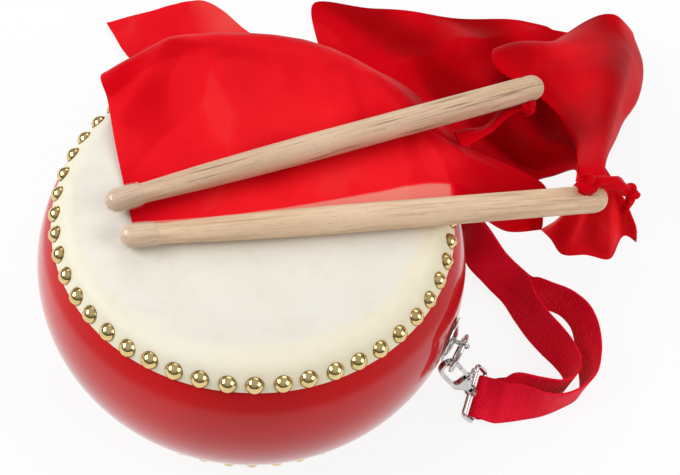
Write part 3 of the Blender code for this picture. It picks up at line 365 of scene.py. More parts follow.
# Nails. Polished brass upholstery nails, one row round each head. Each is a pressed
# dome on a square shank, driven by hand, so no two stand at quite the same tilt.
NAIL_RADIUS = 0.0046
NAIL_HEIGHT = 0.0034
NAIL_SIDES = 28
NAIL_SEED = 50
DOME_ROWS = 7


def nail_ring(side):
    cap = (NAIL_RADIUS ** 2 + NAIL_HEIGHT ** 2) / (2.0 * NAIL_HEIGHT)
    reach = asin(min(1.0, NAIL_RADIUS / cap))
    dome = [(NAIL_RADIUS * 0.93, -0.0005), (NAIL_RADIUS, -0.0003), (NAIL_RADIUS, 0.0001)]
    for row in range(DOME_ROWS):
        turn = reach * (1.0 - (row + 0.6) / DOME_ROWS)
        dome.append((cap * sin(turn), NAIL_HEIGHT - cap * (1.0 - cos(turn))))
    builder = bmesh.new()
    shine = builder.verts.layers.float.new("dome")
    for index in range(NAIL_COUNT):
        turn = NAIL_PHASE + tau * index / NAIL_COUNT
        loose = noise.noise_vector(Vector((index * 3.7, side * 9.1, 0.5)))
        r, z = belly(SEAT_ANGLE, SKIN_GAP + SKIN_THICKNESS)
        seat = Vector((r * cos(turn), r * sin(turn), MIDDLE + side * z))
        out = Vector((cos(SEAT_ANGLE) * cos(turn), cos(SEAT_ANGLE) * sin(turn), side * sin(SEAT_ANGLE)))
        across = Vector((-sin(turn), cos(turn), 0.0))
        along = out.cross(across)
        seat += across * loose.x * 0.0007 + along * loose.y * 0.0005
        out = (out + across * loose.z * 0.05 + along * loose.x * 0.05).normalized()
        across = (across - out * across.dot(out)).normalized()
        along = out.cross(across)
        verts = []
        for r, z in dome:
            for step in range(NAIL_SIDES):
                angle = tau * step / NAIL_SIDES
                point = seat + (across * cos(angle) + along * sin(angle)) * r + out * z
                verts.append(builder.verts.new(point))
                verts[-1][shine] = max(z, 0.0) / NAIL_HEIGHT
        crown = builder.verts.new(seat + out * NAIL_HEIGHT)
        crown[shine] = 1.0
        for face in bands(len(dome), NAIL_SIDES):
            builder.faces.new([verts[index] for index in face])
        last = verts[-NAIL_SIDES:]
        for here, after in zip(last, last[1:] + last[:1]):
            builder.faces.new((here, after, crown))
        builder.faces.new(verts[:NAIL_SIDES])
    return from_builder(builder)


def brass(place):
    dome = place.add("ShaderNodeAttribute", {"attribute_name": "dome"}, output="Fac")
    fog = place.noise(160.0, 3.0)
    scuff = place.stretch(1.0, 1.0, 3.0).noise(2400.0, 2.0)
    colour = fog.cloudy((232, 208, 148), (218, 192, 128))
    # Browner and darker low on each dome: patina with painted shade where the dome meets the hide.
    colour = (1.0 - dome.between(0.0, 0.35)).tint(colour, paint(140, 100, 48))
    rough = 0.10 + scuff.between(0.55, 0.75) * 0.10 + (1.0 - dome.between(0.0, 0.3)) * 0.25
    return {"Base Color": colour, "Metallic": 1.0, "Roughness": rough,
            "Normal": scuff.bump(0.00002, 0.4)}


BRASS = finish("brass", brass)
noise.seed_set(NAIL_SEED)
piece("top_nails", nail_ring(1), BRASS, "drum")
piece("low_nails", nail_ring(-1), BRASS, "drum")

# Hangers. On each side a pressed plate is held to the shell by a split pin, whose legs
# are bent over inside; its eye carries a welded ring. All are nickel-plated steel.
HANGERS = {"right": radians(-17.0), "left": radians(157.0)}
PLATE_RADIUS = 0.01325
PLATE_FLANGE = 0.0024
PLATE_DOME = 0.0033
PLATE_SHEET = 0.0008
PIN_WIRE = 0.0008
PIN_SPACING = 0.0011
PIN_EYE = 0.00275
PIN_NECK = 0.0012
PIN_SPREAD = 0.0045
PIN_TAIL = 0.0030
PIN_BEND = 0.0016
RING_RADIUS = 0.0105
RING_WIRE = 0.0013
RING_LEAN = 0.10
PLATE_EDGE = PLATE_RADIUS - PLATE_FLANGE
PLATE_SEAT = sqrt(BELLY_RADIUS ** 2 - PLATE_EDGE ** 2) - BELLY_RADIUS + SKIN_GAP
EYE_OUT = PLATE_SEAT + PLATE_DOME + PIN_NECK + PIN_EYE + PIN_WIRE
UP = Vector((0.0, 0.0, 1.0))


def frame_from(origin, x_axis, y_axis, z_axis):
    turn = Matrix((x_axis, y_axis, z_axis)).transposed().to_4x4()
    return Matrix.Translation(origin) @ turn


def hanger_frame(side):
    radial = Vector((cos(HANGERS[side]), sin(HANGERS[side]), 0.0))
    origin = radial * BELLY_RADIUS + UP * MIDDLE
    return frame_from(origin, radial, UP.cross(radial), UP)


def ring_frame(side):
    down = Vector((-RING_LEAN, 0.0, -1.0)).normalized()
    along = Vector((0.0, 1.0, 0.0))
    eye = Vector((EYE_OUT, 0.0, 0.0))
    return hanger_frame(side) @ frame_from(eye, down, along, down.cross(along))


def ring_point(turn):
    return Vector((RING_RADIUS * (1.0 + cos(turn)), RING_RADIUS * sin(turn), 0.0))


def directions(points, closed=False):
    """The way a line runs at each of its points."""
    found = []
    count = len(points)
    for index in range(count):
        before = points[index - 1] if closed or index else points[0]
        after = points[(index + 1) % count] if closed or index < count - 1 else points[-1]
        found.append((after - before).normalized())
    return found


def tube(points, radii, sides, closed=False, section=None, across=None):
    """A bar or rope along points. Section swells it by angle; across turns its wide side."""
    points = [Vector(point) for point in points]
    rings, side = [], None
    for index, (point, tangent) in enumerate(zip(points, directions(points, closed))):
        radius = radii if isinstance(radii, float) else radii[index]
        if across:
            side = Vector(across[index])
        elif side is None:
            side = tangent.orthogonal()
        side = (side - tangent * side.dot(tangent)).normalized()
        up = tangent.cross(side)
        ring = []
        for step in range(sides):
            turn = tau * step / sides
            swell = section(turn, index) if section else 1.0
            ring.append(point + (side * cos(turn) + up * sin(turn)) * radius * swell)
        rings.append(ring)
    flat = [point for ring in rings for point in ring]
    faces = bands(len(rings), sides, closed)
    if not closed:
        faces.append(tuple(range(sides)))
        faces.append(tuple(reversed(range(len(flat) - sides, len(flat)))))
    return meshed(flat, faces)


def plate_line():
    hole = PIN_SPACING + PIN_WIRE + SKIN_GAP
    rise = PLATE_DOME - PLATE_SHEET
    span = PLATE_EDGE - hole
    over = [(PLATE_RADIUS - 0.0001, PLATE_SHEET * 0.35), (PLATE_RADIUS - 0.0003, PLATE_SHEET * 0.8),
            (PLATE_RADIUS - 0.0008, PLATE_SHEET), (PLATE_EDGE + 0.0005, PLATE_SHEET)]
    for step in range(9):
        share = step / 8
        over.append((PLATE_EDGE - span * share * 0.96, PLATE_SHEET + rise * sin(share * pi / 2.0) ** 1.2))
    over.append((hole, PLATE_SHEET * 0.8 + rise))
    under = [(hole, rise)] + [(PLATE_EDGE - span * share, rise * sin(share * pi / 2.0) ** 1.2 - 0.00002)
                              for share in (0.8, 0.6, 0.4, 0.2)]
    under += [(PLATE_EDGE, 0.0), (PLATE_RADIUS - 0.0003, 0.0)]
    return [(r, z + PLATE_SEAT) for r, z in over + under]


def pin_line():
    inside = -BELLY_WALL - PIN_BEND
    bend = inside - 2.0 * PIN_WIRE
    leg = [(bend - PIN_TAIL, PIN_SPREAD), (bend, PIN_SPACING * 1.6), (inside, PIN_SPACING),
           (-0.004, PIN_SPACING), (PLATE_DOME, PIN_SPACING)]
    neck = asin(PIN_SPACING / PIN_EYE)
    eye = arc((EYE_OUT, 0.0), PIN_EYE, pi - neck, neck - pi, 30)
    return [Vector((x, 0.0, z)) for x, z in leg + eye + [(x, -z) for x, z in reversed(leg)]]


def nickel(place):
    fog = place.noise(260.0, 3.0)
    scratch = place.stretch(1.0, 1.0, 6.0).noise(1800.0, 2.0).between(0.58, 0.72)
    tarnish = place.noise(420.0, 4.0, 0.7).between(0.60, 0.78)
    colour = fog.cloudy((214, 213, 210), (196, 195, 192))
    colour = (tarnish * 0.45).tint(colour, paint(142, 136, 126))
    return {"Base Color": colour, "Metallic": 1.0,
            "Roughness": 0.14 + scratch * 0.12 + tarnish * 0.18, "Normal": scratch.bump(0.00003, 0.4)}


def plated(name, mesh, body, node, place):
    """A nickel-plated piece; one that is still to be cut is put on its body afterwards."""
    return piece(name, mesh, NICKEL, body, [node], place)


NICKEL = finish("nickel_plate", nickel)
for side in HANGERS:
    flat_on = hanger_frame(side) @ Matrix.Rotation(pi / 2.0, 4, "Y")
    plate = turned(plate_line(), 72, closed=True)
    plated("side_plate_" + side, plate, "drum", "hanger_plate_" + side, flat_on)
    pin = tube(pin_line(), PIN_WIRE, 12)
    plated("eye_pin_" + side, pin, "drum", "hanger_eye_" + side, hanger_frame(side))
    ring = tube([ring_point(tau * step / 72) for step in range(72)], RING_WIRE, 18, True)
    plated("side_ring_" + side, ring, "ring_" + side, "hanger_ring_" + side, ring_frame(side))

# Snap hooks. A flat hook is cut and tumbled, a sprung gate closes it with a thumb ball,
# and its headed stem turns in the boss of a wire loop that the webbing is passed round.
LOOP_WIRE = 0.0014
LOOP_DEPTH = 0.0120
LOOP_BEND = 0.0020
LOOP_SIDE_PLAY = 0.0012
BOSS_RADIUS = 0.0034
BOSS_LENGTH = 0.0024
BOSS_TILT = radians(16.0)
STEM_RADIUS = 0.0014
STEM_HEAD_RADIUS = 0.0026
STEM_HEAD_LENGTH = 0.0011
HOOK_HALF = 0.0020
THROAT = 0.0040
HOOK_BAR = 0.0022
THROAT_START = 0.0090
THROAT_END = 0.0215
HOOK_LIP = 0.0035
GATE_PIVOT = 0.0065
HEEL_RADIUS = 0.0016
TANG_HALF = 0.00085
GATE_HALF = 0.0018
GATE_SHEET = 0.0019
GATE_SHOULDER = 0.0011
BALL_RADIUS = 0.0018
BALL_HEIGHT = 0.0050
STUD_RADIUS = 0.0007
STUD_OFFSET = 0.0018
SPRING_SHEET = 0.0004
SPRING_LENGTH = 0.0042
RIVET_RADIUS = 0.0008
RIVET_HEAD = 0.0014
RIVET_HEAD_LENGTH = 0.0006
RING_PLAY = 0.0036
HOOK_OUTER = THROAT + HOOK_BAR
RING_IN_HOOK = THROAT_END + THROAT - RING_WIRE - RING_PLAY
SWIVEL_GAP = SKIN_GAP + BOSS_RADIUS * sin(BOSS_TILT)
BOSS_CENTRE = -SWIVEL_GAP - BOSS_LENGTH / 2.0
BOSS_BORE = STEM_RADIUS + SKIN_GAP + BOSS_LENGTH / 2.0 * sin(BOSS_TILT)
PIVOT_Y = THROAT + SKIN_GAP
CHEEK_TOP = PIVOT_Y + HEEL_RADIUS + SKIN_GAP
SPRING_TOP = PIVOT_Y - HEEL_RADIUS - SKIN_GAP
SLOT_FLOOR = SPRING_TOP - SPRING_SHEET - SKIN_GAP
SLOT_START = GATE_PIVOT - HEEL_RADIUS - SKIN_GAP
NOSE_TIP = THROAT_END - HOOK_LIP
WEBBING_WIDTH = 0.0250
HOOK_HANGS = {
    "right": {"ring_angle": radians(-50.0), "stem": (-0.651, 0.078, 0.757),
              "loop_axis": (-0.544, -0.126, 0.830), "bar": (0.03, 0.88, 0.477)},
    "left": {"ring_angle": radians(-50.0), "stem": (0.048, -0.813, 0.578),
             "loop_axis": (0.048, -0.813, 0.578), "bar": (0.05, 0.10, 1.0)},
}


def hook_frame(side):
    hang = HOOK_HANGS[side]
    angle = hang["ring_angle"]
    held = ring_frame(side) @ ring_point(angle)
    wire = ring_frame(side).to_3x3() @ Vector((-sin(angle), cos(angle), 0.0))
    nose = Vector(hang["stem"]).normalized()
    pivot = (wire - nose * wire.dot(nose)).normalized()
    if pivot.cross(nose).dot(held) < 0.0:
        pivot = -pivot
    return frame_from(held - nose * RING_IN_HOOK, nose, pivot.cross(nose), pivot)


def loop_frame(side):
    hang = HOOK_HANGS[side]
    axis = Vector(hang["loop_axis"]).normalized()
    bar = Vector(hang["bar"])
    bar = (bar - axis * bar.dot(axis)).normalized()
    return frame_from(hook_frame(side) @ Vector((BOSS_CENTRE, 0, 0)), axis, bar.cross(axis), bar)


def prism(outline, half):
    builder = bmesh.new()
    base = builder.faces.new([builder.verts.new((x, y, -half)) for x, y in outline])
    grown = bmesh.ops.extrude_face_region(builder, geom=[base])
    lifted = [item for item in grown["geom"] if isinstance(item, bmesh.types.BMVert)]
    bmesh.ops.translate(builder, verts=lifted, vec=(0, 0, 2.0 * half))
    return builder


def rod(radius, start, end, sides=24):
    builder = bmesh.new()
    start, end = Vector(start), Vector(end)
    turn = (end - start).to_track_quat("Z", "Y").to_matrix().to_4x4()
    bmesh.ops.create_cone(builder, cap_ends=True, segments=sides, radius1=radius, radius2=radius,
                          depth=(end - start).length, matrix=Matrix.Translation((start + end) / 2.0) @ turn)
    return builder


def merge(made, builder, operation):
    """Joins another form to a piece, or cuts it away, and keeps the result."""
    other = placed("form", from_builder(builder))
    other.matrix_world = made.matrix_world
    step = made.modifiers.new(operation.lower(), "BOOLEAN")
    step.operation, step.solver, step.object = operation, "EXACT", other
    keep_shape(made)
    bpy.data.objects.remove(other, do_unlink=True)


def keep_shape(made):
    """Bakes a piece's modifiers into its mesh."""
    bpy.context.view_layer.update()
    shaped = bpy.data.meshes.new_from_object(made.evaluated_get(bpy.context.evaluated_depsgraph_get()))
    made.modifiers.clear()
    made.data = shaped


def shade(made, sharp):
    made.data.shade_smooth()
    made.data.set_sharp_from_angle(angle=radians(sharp))


def soften(made, width, sharp=40.0):
    """Rounds a piece's edges as tumbling does."""
    step = made.modifiers.new("round", "BEVEL")
    step.width, step.segments, step.angle_limit, step.limit_method = width, 3, radians(sharp), "ANGLE"
    keep_shape(made)
    shade(made, 50.0)


def weld(made, mesh, sharp):
    """Joins a turned form to a piece."""
    form = bmesh.new()
    form.from_mesh(mesh)
    merge(made, form, "UNION")
    shade(made, sharp)


def hook_outline():
    foot = STEM_RADIUS + 0.001
    points = [(0.0, -foot), (THROAT_START * 0.33, -foot - 0.0006), (THROAT_START * 0.87, -HOOK_OUTER)]
    points += arc((THROAT_END, 0.0), HOOK_OUTER, -pi / 2.0, pi / 2.0, 28)
    points += [(NOSE_TIP, HOOK_OUTER), (NOSE_TIP, THROAT)]
    points += arc((THROAT_END, 0.0), THROAT, pi / 2.0, -pi / 2.0, 22)
    points += arc((THROAT_START + HOOK_BAR, -THROAT + HOOK_BAR), HOOK_BAR, -pi / 2.0, -pi, 6)
    points += [(THROAT_START, CHEEK_TOP)]
    points += arc((SLOT_START + 0.0012, CHEEK_TOP - 0.0012), 0.0012, pi / 2.0, pi, 5)
    return points + [(SLOT_START * 0.5, foot), (0.0, foot)]


def build_hook(side, place):
    mesh = from_builder(prism(hook_outline(), HOOK_HALF))
    hook = plated("hook_" + side, mesh, None, "snap_hook_" + side, place)
    past, over = THROAT_START + HOOK_BAR, CHEEK_TOP + HOOK_BAR
    slot = [(SLOT_START, SLOT_FLOOR), (past, SLOT_FLOOR), (past, over), (SLOT_START, over)]
    merge(hook, prism(slot, TANG_HALF + SKIN_GAP), "DIFFERENCE")
    soften(hook, 0.00055)
    neck = BOSS_CENTRE - BOSS_LENGTH / 2.0 - SWIVEL_GAP
    merge(hook, rod(STEM_RADIUS, (neck - STEM_HEAD_LENGTH / 2.0, 0, 0), (STEM_RADIUS, 0, 0)), "UNION")
    half = STEM_HEAD_LENGTH / 2.0
    dome = [(0.0, neck), (STEM_HEAD_RADIUS - 0.0004, neck), (STEM_HEAD_RADIUS, neck - 0.0003),
            (STEM_HEAD_RADIUS, neck - half), (STEM_HEAD_RADIUS * 0.8, neck - half * 1.6),
            (0.0, neck - 2.0 * half)]
    head = turned(dome, 28)
    head.transform(Matrix.Rotation(pi / 2.0, 4, "Y"))
    weld(hook, head, 45.0)
    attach(hook, "hook_" + side)


def build_gate(side, place):
    inner, outer = -SKIN_GAP, GATE_SHEET - SKIN_GAP
    start = HEEL_RADIUS + GATE_SHOULDER + SKIN_GAP * 3.0
    end = NOSE_TIP - SKIN_GAP - GATE_PIVOT
    tang = arc((0.0, 0.0), HEEL_RADIUS, radians(75.0), radians(345.0), 20)
    tang += [(start + SKIN_GAP, inner), (start + SKIN_GAP, outer)]
    mesh = from_builder(prism(tang, TANG_HALF))
    gate = plated("gate_bar_" + side, mesh, None, "gate_" + side, place)
    bar = [(start, inner), (end, inner), (end, outer), (start, outer)]
    merge(gate, prism(bar, GATE_HALF), "UNION")
    soften(gate, 0.00035)
    stud = [(0.0, outer / 2.0), (STUD_RADIUS * 1.5, outer / 2.0), (STUD_RADIUS * 1.5, outer),
            (STUD_RADIUS, outer + 0.0005)]
    sphere = arc((0.0, BALL_HEIGHT), BALL_RADIUS, asin(-0.9), pi / 2.0, 14)
    knob = turned(stud + [(abs(r), z) for r, z in sphere[:-1]] + [(0.0, BALL_HEIGHT + BALL_RADIUS)], 28)
    knob.transform(Matrix.Translation((STUD_OFFSET, 0, 0)) @ Matrix.Rotation(-pi / 2.0, 4, "X"))
    weld(gate, knob, 45.0)
    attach(gate, "gate_" + side)


def build_rivet(side, place):
    near, far = HOOK_HALF + SKIN_GAP, HOOK_HALF + SKIN_GAP + RIVET_HEAD_LENGTH
    half = [(RIVET_RADIUS * 0.98, near), (RIVET_HEAD, near), (RIVET_HEAD, near + 0.0002),
            (RIVET_HEAD * 0.8, far - 0.0001), (RIVET_HEAD * 0.4, far), (0.0, far)]
    line = [(r, -z) for r, z in reversed(half)] + half
    plated("rivet_" + side, turned(line, 24), "hook_" + side, "gate_rivet_" + side, place)


def build_spring(side, place):
    low, start = SPRING_TOP - SPRING_SHEET, SLOT_START + SKIN_GAP
    end = start + SPRING_LENGTH
    leaf = [(start, low), (end, low), (end, SPRING_TOP - SPRING_SHEET / 2.0), (GATE_PIVOT, SPRING_TOP),
            (start, SPRING_TOP - SPRING_SHEET / 4.0)]
    mesh = from_builder(prism(leaf, TANG_HALF))
    plated("leaf_spring_" + side, mesh, "hook_" + side, "gate_spring_" + side, place)


def build_loop(side, place):
    half = WEBBING_WIDTH / 2.0 + LOOP_SIDE_PLAY + LOOP_WIRE - LOOP_BEND
    near, far = -LOOP_BEND, LOOP_BEND - LOOP_DEPTH
    corners = (((near, half), pi / 2.0), ((near, -half), 0.0), ((far, -half), -pi / 2.0),
               ((far, half), -pi))
    points = [Vector((x, 0.0, z)) for centre, start in corners
              for x, z in arc(centre, LOOP_BEND, start, start - pi / 2.0, 8)]
    mesh = tube(points, LOOP_WIRE, 18, True)
    loop = plated("loop_" + side, mesh, None, "swivel_loop_" + side, place)
    end = BOSS_LENGTH / 2.0
    merge(loop, rod(BOSS_RADIUS, (-end, 0, 0), (end, 0, 0), 36), "UNION")
    merge(loop, rod(BOSS_BORE, (-3 * end, 0, 0), (3 * end, 0, 0), 28), "DIFFERENCE")
    shade(loop, 40.0)
    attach(loop, "drum")


for side in HANGERS:
    hook_place = hook_frame(side)
    pivot_place = hook_place @ Matrix.Translation((GATE_PIVOT, PIVOT_Y, 0.0))
    build_hook(side, hook_place)
    build_gate(side, pivot_place)
    build_rivet(side, pivot_place)
    build_spring(side, hook_place)
    build_loop(side, loop_frame(side))

# Strap. Polyester webbing, woven with crosswise ribs and dyed red. One end is sewn round
# the slider's middle bar; the band goes round the right loop's bar, back through the
# slider, lies in folds behind the drum, and is sewn round the left loop's bar.
WEBBING = 0.0013
SLIDER_BAR = 0.0030
SLIDER_SLOT = 0.0065
SLIDER_SHEET = 0.0020
SLIDER_SIDE = 0.0030
SLIDER_PLAY = 0.0010
SEWN_TAIL = 0.0180
BAR_LEAD = 0.0035
SLIDER_PLACE = (118.0, 92.0, 17.3)
SLIDER_TURN = radians(-55.0)
LEFT_LEAD = (-105.5, 95.0, 15.5)
RIGHT_LEAD = (151.0, -43.0, 11.5)
INNER_RUN = (
    ((130.5, 65.0, 15.0), (0.28, 0.19, 0.94)),
    ((139.0, 52.5, 11.5), (0.74, 0.33, 0.59)),
    ((150.5, 41.0, 11.0), (0.80, 0.36, 0.50)),
    ((159.0, 30.5, 13.0), (0.50, 0.35, 0.80)),
    ((165.5, 18.0, 13.2), (0.31, 0.32, 0.90)),
    ((173.5, 7.0, 13.0), (0.31, 0.32, 0.90)),
    ((182.0, -2.0, 13.0), (0.31, 0.30, 0.90)),
    ((189.0, -10.0, 13.2), (0.24, 0.20, 0.95)),
    ((194.0, -19.0, 13.3), (0.16, 0.05, 0.98)),
    ((193.0, -28.0, 13.3), (0.05, -0.03, 0.99)),
    ((186.0, -33.5, 13.3), (0.0, -0.05, 0.99)),
    ((174.0, -35.5, 13.2), (-0.05, 0.08, 0.99)),
    ((161.0, -37.5, 12.9), (-0.05, 0.35, 0.93)),
    ((152.0, -43.6, 10.6), (0.16, 0.75, 0.64)),
)
OUTER_RUN = (
    ((152.0, -48.4, 12.6), (0.08, 0.75, 0.66)),
    ((165.5, -45.8, 12.3), (-0.12, 0.46, 0.88)),
    ((178.0, -44.8, 13.0), (-0.20, 0.10, 0.97)),
    ((189.5, -40.5, 13.0), (-0.20, -0.14, 0.97)),
    ((199.0, -33.5, 13.1), (-0.06, -0.12, 0.99)),
    ((204.0, -24.0, 13.1), (0.14, -0.04, 0.98)),
    ((205.0, -12.0, 12.8), (0.28, 0.0, 0.96)),
    ((204.5, -2.0, 12.7), (0.34, 0.02, 0.94)),
    ((203.0, 9.0, 12.8), (0.30, 0.10, 0.95)),
    ((199.0, 19.0, 13.0), (0.18, 0.15, 0.97)),
    ((190.0, 26.5, 13.2), (0.06, 0.14, 0.98)),
    ((178.0, 29.5, 13.2), (0.08, 0.18, 0.97)),
    ((168.0, 31.0, 13.0), (0.28, 0.28, 0.90)),
    ((160.6, 32.5, 11.4), (0.50, 0.35, 0.80)),
    ((151.5, 42.2, 9.0), (0.80, 0.36, 0.50)),
    ((140.2, 53.5, 9.6), (0.74, 0.33, 0.59)),
    ((132.6, 66.0, 14.0), (0.28, 0.19, 0.94)),
)
BACK_RUN = (
    (100.5, 110.0, 16.0), (84.0, 123.0, 14.5), (62.0, 135.5, 13.3), (35.0, 145.0, 13.2),
    (5.0, 149.0, 13.2), (-22.0, 147.5, 13.2), (-37.0, 143.5, 13.2), (-43.5, 138.5, 13.2),
    (-41.0, 133.5, 13.2), (-33.0, 134.5, 13.2), (-12.0, 138.0, 13.2), (12.0, 138.0, 13.2),
    (33.0, 134.0, 13.2), (44.0, 130.5, 13.2), (50.5, 126.0, 13.2), (50.0, 121.0, 13.2),
    (44.0, 120.5, 13.2), (29.0, 124.7, 13.2), (5.0, 128.0, 13.2), (-22.0, 126.2, 13.2),
    (-46.0, 119.4, 13.2), (-64.0, 114.0, 13.4), (-79.0, 112.0, 13.8), (-90.0, 109.5, 14.4),
)
LAYER = WEBBING + SKIN_GAP


def smooth(points, steps):
    """Catmull-Rom curve through points of any number of values."""
    path, last = [], len(points) - 1
    for index in range(last):
        a, b = points[max(index - 1, 0)], points[index]
        c, d = points[index + 1], points[min(index + 2, last)]
        for step in range(steps):
            t = step / steps
            path.append([0.5 * (2.0 * q + (r - p) * t + (2.0 * p - 5.0 * q + 4.0 * r - s) * t * t
                                + (3.0 * q - p - 3.0 * r + s) * t * t * t)
                         for p, q, r, s in zip(a, b, c, d)])
    path.append(list(points[last]))
    return path


def slider_frame():
    along = Vector((cos(SLIDER_TURN), sin(SLIDER_TURN), 0.0))
    return frame_from(Vector(SLIDER_PLACE) * MM, along, UP.cross(along), UP)


def free_run(pairs):
    rows = [(*[value * MM for value in middle], *width) for middle, width in pairs]
    return [(Vector(row[:3]), Vector(row[3:]).normalized()) for row in smooth(rows, 6)]


def round_the_bar(side, lead):
    loop = loop_frame(side)
    width = loop.to_3x3() @ UP
    away = loop.inverted() @ (Vector(lead) * MM) - Vector((-LOOP_DEPTH, 0.0, 0.0))
    leave = atan2(-away.x, away.y)
    radius = LOOP_WIRE + SKIN_GAP + WEBBING / 2.0
    bend = [(loop @ Vector((x, y, 0.0)), width)
            for x, y in arc((-LOOP_DEPTH, 0.0), radius, leave - pi, leave, 18)]
    straight = loop.to_3x3() @ Vector((-sin(leave), cos(leave), 0.0)) * BAR_LEAD
    return [(bend[0][0] + straight, width)] + bend + [(bend[-1][0] + straight, width)]


def rounded(points):
    """Cuts a line's corners, as a band with some stiffness does."""
    cut = [points[0]]
    for here, there in zip(points, points[1:]):
        cut += [here.lerp(there, 0.25), here.lerp(there, 0.75)]
    return cut + [points[-1]]


def through_slider(layer):
    bar, face, half = SLIDER_BAR / 2.0, SLIDER_SHEET / 2.0, WEBBING / 2.0
    run, lift = -face - SKIN_GAP - half, face + SKIN_GAP + half
    turn = bar + SKIN_GAP + half
    corner = (SKIN_GAP + half) * cos(pi / 4.0)
    if layer == "sewn":
        local = [(SEWN_TAIL, run - 2.0 * LAYER), (turn, run - 2.0 * LAYER), (-turn, run - 0.9 * LAYER),
                 (-turn, face), (-bar - corner, face + corner), (-bar, lift), (bar, lift),
                 (bar + corner, face + corner), (turn, face), (turn, run - 0.3 * LAYER),
                 (turn + 0.0022, run - LAYER), (SEWN_TAIL, run - LAYER)]
    else:
        over = bar + SLIDER_SLOT
        local = [(SEWN_TAIL, run), (over - 0.0008, run), (over - 0.0028, run + 0.0020),
                 (bar + 0.0027, lift + 0.0003), (bar + 0.0007, lift + LAYER)]
        local += [(-x, y) for x, y in reversed(local[1:])]
        local += [(-over - SLIDER_BAR - SKIN_GAP, run)]
    place = slider_frame()
    line = [Vector((x, y, 0.0)) for x, y in local]
    line = [point for here, there in zip(line, line[1:]) for point in (here, here.lerp(there, 0.5))] \
        + [line[-1]]
    return [(place @ point, UP) for point in rounded(line)]


def beside_left_bar():
    loop = loop_frame("left")
    bar = loop @ Vector((-LOOP_DEPTH, 0.0, 0.0))
    away = (Vector(LEFT_LEAD) * MM - bar).normalized()
    width = loop.to_3x3() @ UP
    aside = away.cross(width)
    rows = [(bar + away * distance, width.lerp(UP, turn).normalized(), aside * LAYER * spread)
            for distance, turn, spread in ((0.013, 0.4, 0.9), (0.027, 0.85, 0.6))]
    return ([(middle - shift, across) for middle, across, shift in reversed(rows)],
            [(middle + shift, across) for middle, across, shift in rows])


def strap_stations():
    coming, leaving = beside_left_bar()
    back = [(middle, (0.0, 0.0, 1.0)) for middle in BACK_RUN]
    stations = through_slider("sewn") + free_run(INNER_RUN)
    stations += round_the_bar("right", RIGHT_LEAD) + free_run(OUTER_RUN)
    stations += through_slider("running") + free_run(back)
    return stations + coming + round_the_bar("left", LEFT_LEAD) + leaving


def even_stations(stations, spacing):
    """The same run with stations at even distances, so that the ribs are even."""
    rows, reach = [], 0.0
    lengths = [(b[0] - a[0]).length for a, b in zip(stations, stations[1:])]
    total = sum(lengths)
    count = round(total / spacing)
    index, start = 0, 0.0
    for step in range(count + 1):
        reach = min(total * step / count, total - 1e-9)
        while start + lengths[index] < reach:
            start += lengths[index]
            index += 1
        t = (reach - start) / lengths[index]
        a, b = stations[index], stations[index + 1]
        rows.append((a[0].lerp(b[0], t), a[1].lerp(b[1], t).normalized()))
    return rows, total


def ribbon(stations, spacing):
    """The band's skin: flat faces, rounded selvedges, and its own woven coordinates."""
    half, thick = WEBBING_WIDTH / 2.0, WEBBING / 2.0
    flat = [half - thick, half * 0.75, half * 0.5, half * 0.25, 0.0]
    flat += [-value for value in reversed(flat[:-1])]
    section = [(value, thick) for value in flat]
    section += [(-half + thick - thick * sin(turn), thick * cos(turn))
                for turn in (radians(45.0), radians(90.0), radians(135.0))]
    section += [(value, -thick) for value in reversed(flat)]
    section += [(half - thick + thick * sin(turn), -thick * cos(turn))
                for turn in (radians(45.0), radians(90.0), radians(135.0))]
    centres = [middle for middle, _ in stations]
    points, ribs = [], []
    for row, ((middle, width), way) in enumerate(zip(stations, directions(centres))):
        thin = way.cross(width).normalized()
        ripple = 0.00025 * noise.noise(Vector((row * spacing * 40.0, 3.0, 0.0)))
        for across, up in section:
            edge = ripple * (abs(across) / half) ** 3
            points.append(middle + width * across + thin * (up + edge))
            ribs.append((row * spacing, across, up))
    count = len(section)
    faces = bands(len(stations), count)
    faces += [tuple(range(count)), tuple(reversed(range(len(points) - count, len(points))))]
    return meshed(points, faces, radians(60.0), {"woven": ribs})


RIB = 0.00125
YARN = 0.00085


def webbing(place):
    woven = place.add("ShaderNodeAttribute", {"attribute_name": "woven"}, output="Vector")
    along = woven.axis("X")
    across = woven.axis("Y")
    ribs = (along * (tau / RIB)).sine() * 0.5 + 0.5
    yarns = (across * (tau / YARN)).sine() * 0.5 + 0.5
    worn = place.noise(90.0, 4.0)
    fuzz = place.noise(2600.0, 2.0)
    colour = worn.cloudy((254, 8, 50), (248, 3, 42))
    # Darker in the grooves between the ribs: painted shade. Lighter and pinker where ribs and yarns stand
    # highest: painted highlight.
    colour = ((1.0 - ribs) * 0.30).tint(colour, paint(186, 0, 20))
    colour = (ribs * yarns * 0.35).tint(colour, paint(238, 40, 66))
    height = ribs * 0.7 + yarns * ribs * 0.3 + fuzz * 0.15
    return {"Base Color": colour, "Roughness": 0.72 - ribs * 0.12, "Sheen Weight": 0.08,
            "Sheen Roughness": 0.4, "Specular IOR Level": 0.12, "Normal": height.bump(0.0003, 0.7)}


WEBBING_LOOK = finish("red_webbing", webbing)
strap_run, strap_length = even_stations(strap_stations(), 0.0012)
strap_step = strap_length / (len(strap_run) - 1)
strap = piece("strap", ribbon(strap_run, strap_step), WEBBING_LOOK, "drum", ["strap_webbing"])


def slider_mesh():
    along = SLIDER_BAR * 1.5 + SLIDER_SLOT
    tall = WEBBING_WIDTH / 2.0 + SLIDER_PLAY + SLIDER_SIDE
    bend = SLIDER_SIDE / 2.0
    outline = []
    for x, y, start in ((1, 1, 0.0), (-1, 1, pi / 2.0), (-1, -1, pi), (1, -1, 1.5 * pi)):
        outline += arc((x * (along - bend), y * (tall - bend)), bend, start, start + pi / 2.0, 8)
    return from_builder(prism(outline, SLIDER_SHEET / 2.0))


